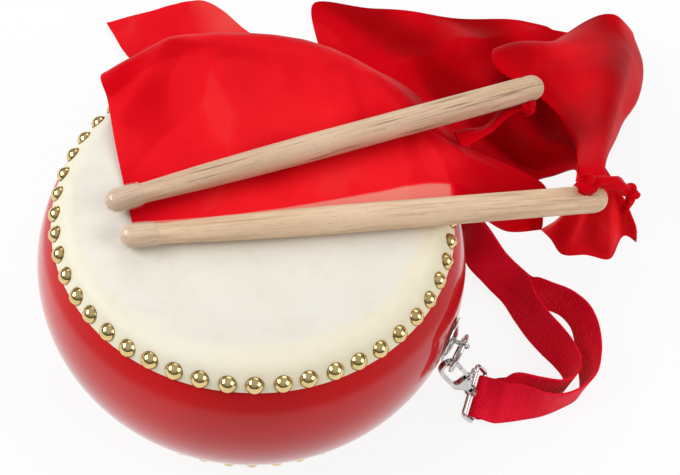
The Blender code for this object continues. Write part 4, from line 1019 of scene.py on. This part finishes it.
slider_place = slider_frame() @ Matrix.Rotation(pi / 2.0, 4, "X")
slider = plated("slider", slider_mesh(), None, "strap_slider", slider_place)
for side in (1, -1):
    near, far = side * SLIDER_BAR / 2.0, side * (SLIDER_BAR / 2.0 + SLIDER_SLOT)
    inside = WEBBING_WIDTH / 2.0 + SLIDER_PLAY
    slot = [(near, -inside), (far, -inside), (far, inside), (near, inside)]
    merge(slider, prism(slot, SLIDER_SHEET), "DIFFERENCE")
soften(slider, 0.0005)
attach(slider, "drum")

# Sticks. Turned beech, sanded and oiled, with an oval tip and a cord hole through the
# butt. Each tip has been dipped in clear varnish, which ends in a wavy rim at the neck.
STICK_LENGTH = 0.2560
STICK_RADIUS = 0.0075
NECK_RADIUS = 0.0052
NECK_AT = 0.0205
TAPER_END = 0.1100
TIP_RADIUS = 0.0059
TIP_ROUND = 0.0060
TIP_ROWS = 9
BUTT_ROUND = 0.0080
HOLE_RADIUS = 0.0026
HOLE_FROM_BUTT = 0.0120
DIP_LENGTH = 0.0185
DIP_WALL = 0.0006
STICK_ENDS = {
    "a": ((-73.6, -23.4, 117.6), (146.8, 103.4, 117.6)),
    "b": ((-62.1, -40.6, 115.4), (183.3, 28.9, 116.9)),
}
HOLE_TURNS = {"a": radians(215.0), "b": radians(90.0)}
DRAWN_HEAD_TOP = 0.1081


def drawn(point):
    """A place in mm on the drum as the metres it has on this one."""
    return Vector((point[0] * MM, point[1] * MM, point[2] * MM * HEAD_TOP / DRAWN_HEAD_TOP))


def stick_frame(stick):
    tip, butt = (drawn(end) for end in STICK_ENDS[stick])
    along = (butt - tip).normalized()
    aside = UP.cross(along).normalized()
    return frame_from(tip, aside, along.cross(aside), along)


def tip_line():
    line = [(TIP_RADIUS * sin(turn), TIP_ROUND * (1.0 - cos(turn)))
            for turn in [pi / 2.0 * step / TIP_ROWS for step in range(TIP_ROWS + 1)]]
    return line + [(TIP_RADIUS, NECK_AT * 0.62)]


def stick_line():
    taper = TAPER_END - NECK_AT
    side = [(TIP_RADIUS * 0.995, NECK_AT * 0.70), (TIP_RADIUS * 0.955, NECK_AT * 0.82),
            (NECK_RADIUS * 1.02, NECK_AT * 0.95), (NECK_RADIUS * 1.005, NECK_AT * 1.08),
            (NECK_RADIUS + (STICK_RADIUS - NECK_RADIUS) * 0.16, NECK_AT + taper * 0.10),
            (NECK_RADIUS + (STICK_RADIUS - NECK_RADIUS) * 0.54, NECK_AT + taper * 0.35),
            (NECK_RADIUS + (STICK_RADIUS - NECK_RADIUS) * 0.83, NECK_AT + taper * 0.68),
            (STICK_RADIUS, TAPER_END)]
    butt = STICK_LENGTH - BUTT_ROUND
    side += [(STICK_RADIUS, butt * share + TAPER_END * (1 - share)) for share in (0.4, 0.8, 1.0)]
    side += [(STICK_RADIUS * cos(turn) ** 0.8, butt + BUTT_ROUND * sin(turn))
             for turn in [pi / 2.0 * step / 9 for step in range(1, 9)]]
    return tip_line() + side + [(0.0, STICK_LENGTH)]


def beech(pale, mid, streaks):
    """Flat-sawn rings across the stick, long dark vessels and short flecks along it."""
    def build(place):
        board = place.stretch(1.0, 0.55, 0.045)
        wander = board.noise(55.0, 3.0, 0.6)
        late = (board.noise(420.0, 4.0, 0.62) + wander * 0.6).between(0.74, 0.96)
        line = (place.stretch(1.0, 0.4, 0.02).noise(700.0, 3.0, 0.6) + wander * 0.3).between(0.72, 0.80)
        vessel = place.stretch(1.0, 1.0, 0.035).noise(2300.0, 3.0, 0.6).between(0.60, 0.72)
        fleck = place.stretch(1.0, 1.0, 0.16).noise(1500.0, 2.0, 0.5).between(0.66, 0.74)
        blotch = place.stretch(1.0, 1.0, 0.2).noise(60.0, 2.0)
        end = place.axis("Z").between(STICK_LENGTH - 0.008, STICK_LENGTH)
        colour = blotch.cloudy(pale, mid)
        colour = (late * 0.55).tint(colour, paint(188, 150, 116))
        colour = (line * streaks).tint(colour, paint(128, 98, 74))
        colour = (vessel * 0.55).tint(colour, paint(150, 114, 84))
        colour = (fleck * 0.45).tint(colour, paint(126, 92, 66))
        colour = (end * 0.35).tint(colour, paint(180, 142, 108))
        pores = 1.0 - vessel * 0.6 - fleck * 0.4 - line * 0.3
        return {"Base Color": colour, "Roughness": 0.52 + late * 0.10, "Specular IOR Level": 0.3,
                "Normal": pores.bump(0.00014, 0.7)}
    return build


def varnish(place):
    swirl = place.noise(700.0, 2.0)
    rim = place.axis("Z").between(DIP_LENGTH - 0.0012, DIP_LENGTH + 0.0003)
    # The alpha rises towards grazing edges, so the pale colour shows there: a painted reflection on the
    # clear varnish.
    painted_edge_sheen = place.add("ShaderNodeLayerWeight", {}, {"Blend": 0.40}, "Facing") ** 2.5
    colour = (rim * 0.6).tint(paint(238, 230, 216), paint(206, 182, 152))
    return {"Base Color": colour, "Roughness": 0.06, "Alpha": 0.09 + painted_edge_sheen * 0.40 + rim * 0.30,
            "Coat Weight": 1.0, "Coat Roughness": 0.05, "Coat IOR": 2.4, "Normal": swirl.bump(0.00006, 0.3)}


def dip_mesh(seed):
    """The varnish skin over the tip; its rim runs in and out round the neck."""
    line = tip_line() + [(NECK_RADIUS + (TIP_RADIUS - NECK_RADIUS) * 0.78, NECK_AT * 0.78),
                         (NECK_RADIUS + (TIP_RADIUS - NECK_RADIUS) * 0.4, DIP_LENGTH)]
    sides, rows = 48, []
    for grow in (SKIN_GAP + DIP_WALL, SKIN_GAP):
        for index, (r, z) in enumerate(line):
            way = min(1.0, index / TIP_ROWS) * pi / 2.0
            rows.append((max(0.0, r + grow * sin(way)) if index else 0.0, z - grow * cos(way), index))
    outer, inner = rows[:len(line)], list(reversed(rows[len(line):]))
    points = []
    for r, z, index in outer + inner:
        for step in range(sides):
            turn = tau * step / sides
            drip = 0.0011 * noise.noise(Vector((cos(turn) * 1.6, sin(turn) * 1.6, seed)))
            share = max(0.0, (index - TIP_ROWS) / (len(line) - 1.0 - TIP_ROWS)) ** 2
            points.append((r * cos(turn), r * sin(turn), z + drip * share - 0.0006 * share))
    return meshed(points, bands(len(outer + inner), sides))


BEECH = {"a": finish("streaky_beech", beech((222, 192, 163), (208, 176, 147), 0.80)),
         "b": finish("even_beech", beech((231, 200, 168), (220, 187, 154), 0.25))}
VARNISH = finish("clear_varnish", varnish)
for stick, seed in (("a", 1.3), ("b", 7.9)):
    place = stick_frame(stick)
    made = piece("drumstick_" + stick, turned(stick_line(), 64), BEECH[stick], None, (), place)
    hole = Vector((0.0, 0.0, STICK_LENGTH - HOLE_FROM_BUTT))
    reach = Vector((cos(HOLE_TURNS[stick]), sin(HOLE_TURNS[stick]), 0.0)) * 2.0 * STICK_RADIUS
    merge(made, rod(HOLE_RADIUS, hole - reach, hole + reach, 28), "DIFFERENCE")
    soften(made, 0.0005, 55.0)
    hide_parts("stick_" + stick)
    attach(made, "stick_" + stick)
    piece("dipped_tip_" + stick, dip_mesh(seed), VARNISH, "stick_" + stick,
          ["tip_cap_" + stick], place)

# Scarves. A square of thin red silk with narrow hems is tied by one corner through each
# stick's hole. The first is thrown over the back of the drum. The second lies behind it,
# doubled over along its right side, so that its upper half stands up like an open tent.
SILK = 0.0005
SINGLE_FRONT = 0.097
LOOSE_FROM = 0.102
HIDE_REACH = 0.108
TOP_FROM = 0.100
RIDGE_AT = 0.106
SCARF_A = (
    ((-60.4, -28, 108.8), (-22, -18, 108.7), (18, -9, 108.6), (59, 0, 108.6), (90, 7, 108.5),
     (113, 17, 103), (139, 26, 78), (161, 39, 67)),
    ((-60, -27, 109.2), (-22, -16, 109.2), (18, -2, 109.2), (59, 15, 109.2), (90, 28, 109.0),
     (113, 32, 103.5), (139, 36, 80), (161, 43, 70)),
    ((-66, -13, 109.2), (-31, 2, 109.2), (7, 18, 109.2), (45, 34, 109.2), (79, 46, 109.2),
     (104, 50, 106), (132, 52, 93), (159, 51, 77)),
    ((-79, 17, 109.3), (-50, 43, 110.5), (-14, 61, 110.8), (27, 69, 110.0), (65, 68, 109.2),
     (91, 61, 107.5), (115, 60, 99), (157, 61, 83)),
    ((-92, 50, 109), (-72, 67, 112), (-47, 83, 115), (-16, 95, 115), (23, 96, 115),
     (59, 85, 111.5), (86, 66, 107), (110, 65, 99)),
    ((-102, 73, 104.5), (-88, 83, 110), (-64, 103, 112), (-20, 116, 112), (17, 116, 111),
     (58, 102, 107), (84, 82, 104), (104, 71, 97)),
    ((-95, 99, 82), (-86, 107, 86), (-71, 123, 84), (-25, 141, 80), (20, 141, 80),
     (69, 124, 78), (97, 105, 74), (118, 90, 68)),
    ((-100, 128, 52), (-91, 138, 50), (-74, 148, 46), (-27, 162, 42), (22, 162, 42),
     (75, 145, 42), (109, 124, 40), (134, 100, 38)),
    ((-111, 162, 20), (-100, 170, 14), (-80, 176, 8), (-28, 178, 4), (22, 175, 4),
     (78, 158, 4), (114, 134, 4), (140, 108, 4)),
    ((-129, 190, 4), (-114, 201, 2.2), (-88, 214, 2.2), (-40, 203, 1.8), (20, 182, 1.8),
     (80, 166, 1.8), (118, 140, 1.8), (144, 112, 1.8)),
    ((-147.5, 216, 1.8), (-126, 229, 2.2), (-84, 253, 2.2), (-45, 229, 1.8), (18, 187, 1.8),
     (82, 170, 1.8), (121, 144, 1.8), (147, 115, 1.8)),
)
SCARF_B = (
    ((172, 50, 102), (172, 61, 99), (170, 95, 48), (160, 121, 10), (122, 142, 5.5), (66, 177, 3),
     (10, 222, 2.5)),
    ((174.5, 50, 102.5), (174, 62, 100), (174, 105, 50), (166, 135, 10), (128, 168, 6), (70, 215, 5),
     (0, 269, 3)),
    ((177.5, 50, 103), (177, 62, 101), (179, 112, 54), (172, 150, 13), (142, 190, 8), (98, 232, 6),
     (47, 272, 5)),
    ((181, 50, 103), (180, 63, 101), (184, 117, 57), (180, 160, 17), (160, 205, 9), (130, 240, 7),
     (95, 272, 5)),
    ((184.5, 50, 103), (183, 63, 101), (190, 120, 59), (190, 168, 21), (178, 215, 11), (160, 248, 8),
     (140, 276, 6)),
    ((188, 50, 103.5), (186, 63, 102), (198, 122, 60), (206, 170, 26), (206, 216, 14), (196, 252, 9),
     (184, 275, 7)),
    ((191, 50, 105), (188.5, 63, 103.5), (210, 123, 67), (226, 163, 50), (241, 211, 30),
     (244, 236, 24), (239, 262, 22)),
    ((189, 50, 108), (187, 61, 106), (203, 118, 80), (215, 160, 67), (224, 200, 53), (228, 232, 43),
     (223, 263, 40)),
    ((184, 50, 108.5), (182, 60, 107), (192, 112, 86), (197, 155, 74), (199, 195, 61), (200, 228, 47),
     (203, 262, 30)),
    ((178.5, 50, 108), (177, 60, 106), (183, 108, 80), (180, 148, 63), (168, 190, 50), (166, 222, 42),
     (168, 236, 22)),
    ((173.5, 50, 106), (173, 61, 104), (178, 105, 76), (168, 150, 56), (136, 190, 42), (133, 212, 36),
     (142, 226, 20)),
)
CREASES_A = (
    ((-65, 106), (-84, 22), 4.0, 13, 6),
    ((-44, 96), (-14, 24), 4.4, 16, 5),
    ((20, 100), (33, 60), 4.4, 7, 4),
    ((33, 97), (45, 62), 3.6, 4, 7),
    ((62, 86), (20, 34), 2.6, 16, 8),
    ((108, 50), (66, 26), 2.0, 12, 6),
    ((-92, 60), (-72, 10), 2.0, 6, 10),
)
CREASES_B = (((48, 198), (172, 266), 11.0, 22, 9), ((150, 178), (112, 168), 5.0, 10, 8))


def silk_grid(net, across, down):
    """Points of a net in mm, smoothed both ways."""
    rows = [smooth([tuple(drawn(point)) for point in row], down) for row in net]
    columns = [smooth(list(column), across) for column in zip(*rows)]
    return [[Vector(column[step]) for column in columns] for step in range(len(columns[0]))]


def silk_mesh(grid, fold):
    """A cloth with two faces and a hem. Fold gives how far each point lifts and its backing, which also
    carries painted light and shade: 2 is one layer on white hide, 1 on something white and where light is
    painted on, 0 doubled cloth and painted shade, -1 painted shade deep in a fold."""
    wide, tall = len(grid), len(grid[0])
    normals = [[None] * tall for _ in range(wide)]
    for i in range(wide):
        for j in range(tall):
            u = grid[min(i + 1, wide - 1)][j] - grid[max(i - 1, 0)][j]
            v = grid[i][min(j + 1, tall - 1)] - grid[i][max(j - 1, 0)]
            normals[i][j] = u.cross(v).normalized()
    if sum(normal.z for row in normals for normal in row) < 0.0:
        normals = [[-normal for normal in row] for row in normals]
    folds = [[fold(grid[i][j], i / (wide - 1), j / (tall - 1)) for j in range(tall)] for i in range(wide)]
    points, faces, backing = [], [], []
    for sign in (0.5, -0.5):
        for i in range(wide):
            for j in range(tall):
                rim = min(i, wide - 1 - i, j, tall - 1 - j)
                thick = SILK * (1.7 if rim < 2 else 1.0)
                # The second value is the backing, with its painted light and shade.
                lift, white = folds[i][j]
                point = grid[i][j] + normals[i][j] * (lift + thick * sign)
                point.z = max(point.z, 0.0006 + (sign + 0.5) * thick)
                points.append(point)
                backing.append(float(white))
    layer = wide * tall
    for i in range(wide - 1):
        for j in range(tall - 1):
            a, b, c, d = i * tall + j, (i + 1) * tall + j, (i + 1) * tall + j + 1, i * tall + j + 1
            faces.append((a, b, c, d))
            faces.append((layer + d, layer + c, layer + b, layer + a))
    edge = [i * tall for i in range(wide)] + [(wide - 1) * tall + j for j in range(1, tall)]
    edge += [i * tall + tall - 1 for i in range(wide - 2, -1, -1)] + [j for j in range(tall - 2, 0, -1)]
    for here, there in zip(edge, edge[1:] + edge[:1]):
        faces.append((layer + here, layer + there, there, here))
    return meshed(points, faces, radians(80.0), {"backing": backing})


def creased(point, creases):
    """The height of folds, each from one place to another, steeper on one side, and their tone: painted
    light on one side of each fold and painted shade on the other.
    """
    lift, tone, here = 0.0, 0.0, Vector((point.x, point.y)) / MM
    for start, end, height, left, right in creases:
        run, away = Vector(end) - Vector(start), here - Vector(start)
        share = limited(away.dot(run) / run.length_squared)
        side = 1.0 if run.cross(away) > 0.0 else -1.0
        reach = (away - run * share).length / (left if side > 0.0 else right)
        bulge = exp(-reach ** 1.4) * (0.3 + 0.7 * sin(pi * share))
        lift += height * bulge
        tone -= side * reach * bulge * min(1.0, height / 4.0)
    return lift * MM, tone


def clear_of_sticks(point):
    """0 under a stick, where the cloth is pressed flat, and 1 well beside it."""
    free = 1.0
    for stick in STICK_ENDS:
        local = stick_frame(stick).inverted() @ point
        if 0.0 < local.z < STICK_LENGTH:
            free = min(free, max(0.0, (abs(local.x) - 0.006) / 0.012))
    return free


def fold_a(point, u, v):
    out = hypot(point.x, point.y)
    free = limited((out - LOOSE_FROM) / 0.03)
    wave = noise.noise(Vector((point.x * 26.0, point.y * 26.0, point.z * 18.0)))
    fine = noise.noise(Vector((point.x * 70.0, point.y * 45.0 + 7.0, point.z * 30.0)))
    lift = 0.0006 * abs(fine) + free * abs(0.0024 * wave + 0.0008 * fine)
    fold, tone = creased(point, CREASES_A)
    high = limited((point.z - TOP_FROM) / 0.006)
    lift += fold * high
    on_hide = limited((HIDE_REACH - out) / 0.004)
    on_floor = max(0.0, 1.0 - point.z / 0.016)
    # The band along the top ridge is a painted sheen, the high cloth is painted lighter, and the crease
    # tone is painted light and shade on the sides of each fold.
    ridge = 1.12 * exp(-((point.y - RIDGE_AT) / 0.011) ** 2)
    white = max(on_hide * 0.80, on_floor * (1.40 if point.x < 0.05 else 0.3), 0.45 * high, ridge * high)
    white += 0.55 * tone * high + 0.34 * wave
    if high > 0.5:
        white = min(white, 0.92)
    if u < SINGLE_FRONT:
        white = 2.0 * on_hide
    return lift * min(1.0, clear_of_sticks(point)), white


def fold_b(point, u, v):
    v = max(0.0, v * 1.2 - 0.2)
    fan = sin(u * tau * 5.0 + 1.3 * noise.noise(Vector((u * 3.0, v * 2.0, 4.0))))
    spread = min(1.0, v * 2.2) * (1.0 - 0.55 * v) * min(1.0, u * 12.0 + 0.1)
    wave = noise.noise(Vector((point.x * 24.0, point.y * 24.0, point.z * 20.0)))
    lift = (0.0034 * fan + 0.0024 * wave) * spread
    # The tone paints the fan folds lighter on their crests and darker in their troughs, with a random wave:
    # painted light and shade.
    tone = 0.45 * fan * min(1.0, v * 2.2) + 0.35 * wave
    if u < 0.5:
        fold, shade = creased(point, CREASES_B)
        far = limited((v - 0.4) / 0.15)
        lift += fold * far
        tone += 0.8 * shade * far
    # Inside is painted shade in the hollow of the tent; the ear is a painted highlight on its facet.
    inside = max(0.0, 1.0 - abs(u - 0.28) / 0.3) * max(0.0, 1.0 - v / 0.75)
    ear_highlight = max(0.0, 1.0 - abs(u - 0.66) / 0.10) * max(0.0, (v - 0.80) / 0.20)
    return lift, 0.8 * ear_highlight - inside + tone - (0.30 if u < 0.5 else 0.10)


def silk(place):
    """Bright where something white shows through it and where light is painted on; deep where it is doubled
    and where shade is painted into folds.
    """
    backing = place.add("ShaderNodeAttribute", {"attribute_name": "backing"}, output="Fac")
    weave = place.noise(2400.0, 2.0)
    cloud = place.noise(14.0, 2.0)
    crease = place.noise(60.0, 3.0, 0.55)
    bent = place.noise(8.0, 1.5) - 0.5
    fold = (bent * bent) ** 0.5
    small_bend = place.stretch(1.0, 0.6, 1.0).noise(19.0, 1.5) - 0.5
    small_fold = (small_bend * small_bend) ** 0.5
    # One side of each noise fold is painted lighter and the other darker: painted light and shade.
    painted_fold_shading = bent.between(-0.012, 0.012) * 0.26 + small_bend.between(-0.02, 0.02) * 0.16 - 0.21
    backing = backing + painted_fold_shading
    painted_edge_sheen = place.add("ShaderNodeLayerWeight", {}, {"Blend": 0.30}, "Facing") ** 3.0
    # The lit colour is painted light; the doubled colour serves doubled cloth and painted shade.
    doubled = cloud.cloudy((208, 2, 20), (196, 1, 14))
    lit = cloud.cloudy((236, 28, 36), (226, 16, 30))
    colour = backing.between(0.0, 1.0).tint(doubled, lit)
    colour = (backing - 1.0).between(0.0, 1.0).tint(colour, paint(234, 126, 114))
    # The deepest red is painted shade deep in folds.
    colour = (0.0 - backing).between(0.0, 1.0).tint(colour, paint(160, 0, 6))
    # A redder tint towards grazing angles: painted sheen.
    colour = (painted_edge_sheen * 0.16).tint(colour, paint(204, 12, 40))
    height = fold + small_fold * 0.5 + crease * 0.10 + weave * 0.02
    return {"Base Color": colour, "Roughness": 0.40, "IOR": 1.08, "Specular IOR Level": 0.4,
            "Sheen Weight": 0.02, "Sheen Roughness": 0.3, "Sheen Tint": paint(226, 30, 52),
            "Normal": height.bump(0.0060, 0.7)}


SILK_LOOK = finish("red_silk", silk)
mesh = silk_mesh(silk_grid(SCARF_A, 9, 12), fold_a)
scarf_a = piece("scarf_a_silk", mesh, SILK_LOOK, "drum", ["scarf_a"])
mesh = silk_mesh(silk_grid(SCARF_B, 9, 14), fold_b)
scarf_b = piece("scarf_b_silk", mesh, SILK_LOOK, "drum", ["scarf_b"])

# Ties. The corner of each scarf is rolled into a rope, drawn through the stick's hole and
# knotted. From the first it runs back as a flat strip. At the second the rope ends in a
# small knot beside the butt, and the cloth it is drawn from hangs down behind.
ROPE_IN_HOLE = 0.0020
KNOT_B = (170.5, 26.8, 127.6)
END_B = (199.5, 39.0, 112.6)
TAIL = (
    ((172.5, 61, 104), (171.5, 50, 107), (171, 42, 104), (168.5, 36, 94), (165, 34, 85), (159.5, 33, 75)),
    ((175, 62, 103), (175, 51, 105), (175, 45, 101), (172.5, 42, 90), (170.5, 40, 78), (168, 36, 63)),
    ((177.5, 61, 105), (178.5, 49, 108), (179.5, 41, 103), (179, 36, 88), (178, 34, 72), (177, 33, 54)),
    ((180, 62, 103), (182.5, 51, 105), (184.5, 46, 100), (186.5, 44, 87), (188.5, 40, 72), (190, 33, 57)),
    ((183, 61, 105), (186.5, 50, 107), (190, 42, 103), (195, 35, 88), (200, 32, 72), (205, 33, 57)),
    ((186, 62, 104), (190, 52, 105), (195, 46, 102), (201, 44, 92), (205, 43, 83), (208.5, 40, 71)),
    ((188, 62, 104), (192.5, 52, 105), (198, 43, 103), (205, 40, 94), (212.5, 39, 82), (217, 39, 69)),
)


def silk_piece(name, mesh, body, stick):
    return piece(name, mesh, SILK_LOOK, body, ["tie_" + stick])


def twisted(turn, index):
    return 1.0 + 0.16 * sin(3.0 * turn + index * 0.35) + 0.07 * sin(5.0 * turn - index * 0.22)


def flattened(turn, index):
    return 1.0 / hypot(cos(turn), sin(turn) / 0.26) * (1.0 + 0.10 * cos(3.0 * turn + index * 0.1))


def rope(points, radii):
    rows = smooth([(*point, radius) for point, radius in zip(points, radii)], 10)
    return tube([row[:3] for row in rows], [row[3] * 0.92 for row in rows], 18, False, twisted)


def knot(centre, size, thick, turn):
    """A trefoil pulled tight: three lobes of rope lying over one another."""
    spin = Matrix.Rotation(turn, 3, "Z") @ Matrix.Rotation(1.1, 3, "X")
    points = []
    for step in range(72):
        t = tau * step / 72
        local = Vector((sin(t) + 2.0 * sin(2.0 * t), cos(t) - 2.0 * cos(2.0 * t), -1.6 * sin(3.0 * t)))
        points.append(centre + spin @ (local * size))
    return tube(points, thick, 14, True, twisted)


place = stick_frame("a")
over = STICK_RADIUS + ROPE_IN_HOLE
mouth = Vector((cos(HOLE_TURNS["a"]), sin(HOLE_TURNS["a"]), 0.0))
middle = Vector((0.0, 0.0, STICK_LENGTH - HOLE_FROM_BUTT))
tied = middle + mouth * (STICK_RADIUS + 0.0024)
turn = [tied, middle + mouth * STICK_RADIUS, middle, middle - mouth * (over - 0.0026),
        middle + Vector((-mouth.y, mouth.x, 0.15)) * over, tied]
turn_radii = [0.0024, ROPE_IN_HOLE, ROPE_IN_HOLE, 0.0012, 0.0018, 0.0026]
through = silk_piece("tie_a_loop", rope([place @ point for point in turn], turn_radii), "stick_a", "a")
tied = place @ tied
tight = silk_piece("tie_a_knot", knot(tied, 0.00115, 0.0019, 0.4), "stick_a", "a")
run = [(tied, 0.0030, (0.6, -0.4, 0.7)),
       (drawn((130, 86, 110.5)), 0.0040, (0.5, -0.8, 0.3)),
       (drawn((121, 75, 107)), 0.0052, (0.3, -0.9, 0.5)),
       (drawn((111, 68.5, 105.5)), 0.0064, (0.5, -0.8, 0.2)),
       (drawn((104, 65, 104.5)), 0.0066, (0.5, -0.8, 0.1))]
rows = smooth([(*point, radius, *across) for point, radius, across in run], 12)
strip = tube([row[:3] for row in rows], [row[3] for row in rows], 20, False, flattened,
             [row[4:] for row in rows])
strip = silk_piece("tie_a_strip", strip, None, "a")
drawn((119, 71, 104))
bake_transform(strip)

place = stick_frame("b")
centre, end = drawn(KNOT_B), drawn(END_B)
under = [place @ (middle + Vector((x, y, 0.0)) * over) for x, y in ((1.25, -0.5), (0.0, -1.1), (0.0, 0.0))]
lead = rope([drawn((178, 42, 104)), *under, centre], [0.0026, 0.0022, ROPE_IN_HOLE, ROPE_IN_HOLE, 0.0030])
lead = silk_piece("tie_b_lead", lead, "stick_b", "b")
tight = silk_piece("tie_b_knot", knot(centre, 0.00150, 0.0024, 1.4), "stick_b", "b")
last = [centre, drawn((179.0, 31.5, 127.4)), drawn((188.0, 35.5, 122.0)), drawn((194.5, 38.0, 116.0)), end]
last = rope(last, [0.0030, 0.0034, 0.0042, 0.0036, 0.0028])
last = silk_piece("tie_b_end", last, "stick_b", "b")
small = silk_piece("tie_b_end_knot", knot(end, 0.00110, 0.0020, 2.2), "stick_b", "b")
tip = rope([end, drawn((199.5, 35, 107)), drawn((197.5, 32, 101.5))], [0.0026, 0.0026, 0.0008])
tip = silk_piece("tie_b_tip", tip, "stick_b", "b")


def fold_tail(point, u, v):
    wave = noise.noise(Vector((point.x * 60.0, point.y * 60.0, point.z * 40.0)))
    # The tail starts from a raised backing of 0.70, painted light on cloth hanging in shade, and its left
    # part is lighter still.
    return 0.0016 * wave * v, 0.70 + 0.6 * wave + 0.7 * max(0.0, 1.0 - u / 0.24) * min(1.0, v * 2.0)


tail = silk_piece("tie_b_tail", silk_mesh(silk_grid(TAIL, 9, 12), fold_tail), None, "b")
drawn((180, 60, 104))
drawn((182, 46, 104))
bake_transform(tail)

# Studio. A flat white floor, a pale surround and large soft lamps; the camera looks down
# at the drum as the photograph does, from in front and a little to the right.
FLOOR_REACH = 6.0
FLOOR_GLOW = 0.87
LENS = 52.94
CAMERA = (0.0462, -0.3107, 0.5337)
CAMERA_RIGHT = (0.9888, 0.1228, 0.085)
CAMERA_UP = (-0.1493, 0.8131, 0.5627)


def lamp(name, place, aim, size, power):
    data = bpy.data.lights.new(name, "AREA")
    data.shape, data.size, data.size_y, data.energy = "RECTANGLE", size[0], size[1], power
    made = placed(name, data)
    made.location = place
    made.rotation_euler = (Vector(aim) - Vector(place)).to_track_quat("-Z", "Y").to_euler()


lens = bpy.data.cameras.new("camera")
lens.lens, lens.sensor_width, lens.sensor_fit = LENS, 36.0, "HORIZONTAL"
lens.clip_start, lens.clip_end = 0.01, 20.0
camera = placed("camera", lens)
right = Vector(CAMERA_RIGHT).normalized()
upward = (Vector(CAMERA_UP) - right * right.dot(Vector(CAMERA_UP))).normalized()
camera.matrix_world = frame_from(Vector(CAMERA), right, upward, right.cross(upward))
bpy.context.scene.camera = camera

floor_mesh = bpy.data.meshes.new("floor")
corners = ((-1, -1), (1, -1), (1, 1), (-1, 1))
floor_mesh.from_pydata([(x * FLOOR_REACH, y * FLOOR_REACH, 0) for x, y in corners], [], [(0, 1, 2, 3)])
floor = placed("floor", floor_mesh)
floor.location.z = -0.0002
paper = bpy.data.materials.new("paper")
paper.use_nodes = True
paper.node_tree.nodes.remove(paper.node_tree.nodes["Principled BSDF"])
start = Wire(paper.node_tree)
matt = start.add("ShaderNodeBsdfDiffuse", {}, {"Color": (0.92, 0.92, 0.92, 1.0)})
white = start.add("ShaderNodeEmission", {}, {"Color": (1.0, 1.0, 1.0, 1.0), "Strength": 1.0})
rays = [start.add("ShaderNodeLightPath", output="Is %s Ray" % kind)
        for kind in ("Camera", "Glossy", "Transmission")]
seen = (rays[0] + rays[1] + rays[2]).between(0.0, 1.0)
spot = start.add("ShaderNodeNewGeometry", output="Position")
far = spot.stretch(1.0, 1.0, 0.0).length().between(0.5, 1.6)
share = seen * (FLOOR_GLOW + far * (1.0 - FLOOR_GLOW))
mixed = start.add("ShaderNodeMixShader", {}, {0: share, 1: matt, 2: white})
paper.node_tree.links.new(mixed.socket, paper.node_tree.nodes["Material Output"].inputs["Surface"])
floor_mesh.materials.append(paper)

world = bpy.data.worlds.new("studio")
bpy.context.scene.world = world
world.use_nodes = True
world.node_tree.nodes.clear()
start = Wire(world.node_tree)
rise = start.add("ShaderNodeTexCoord", output="Generated").axis("Z")
glow = 0.07 + rise.between(0.15, 0.95) * 0.48 + (1.0 - rise.between(0.05, 0.14)) * 0.93
around = start.add("ShaderNodeBackground", {}, {"Color": (1.0, 1.0, 1.0, 1.0), "Strength": glow})
output = world.node_tree.nodes.new("ShaderNodeOutputWorld")
world.node_tree.links.new(around.socket, output.inputs["Surface"])
lamp("key", (-0.78, -0.16, 0.78), (0.0, 0.0, 0.05), (0.7, 0.5), 7.0)
lamp("fill", (0.88, -0.20, 0.66), (0.0, 0.0, 0.05), (0.6, 0.6), 4.2)
lamp("back", (0.1, 0.9, 0.9), (0.0, 0.0, 0.05), (0.8, 0.5), 2.8)

bpy.context.scene.view_settings.view_transform = "Standard"
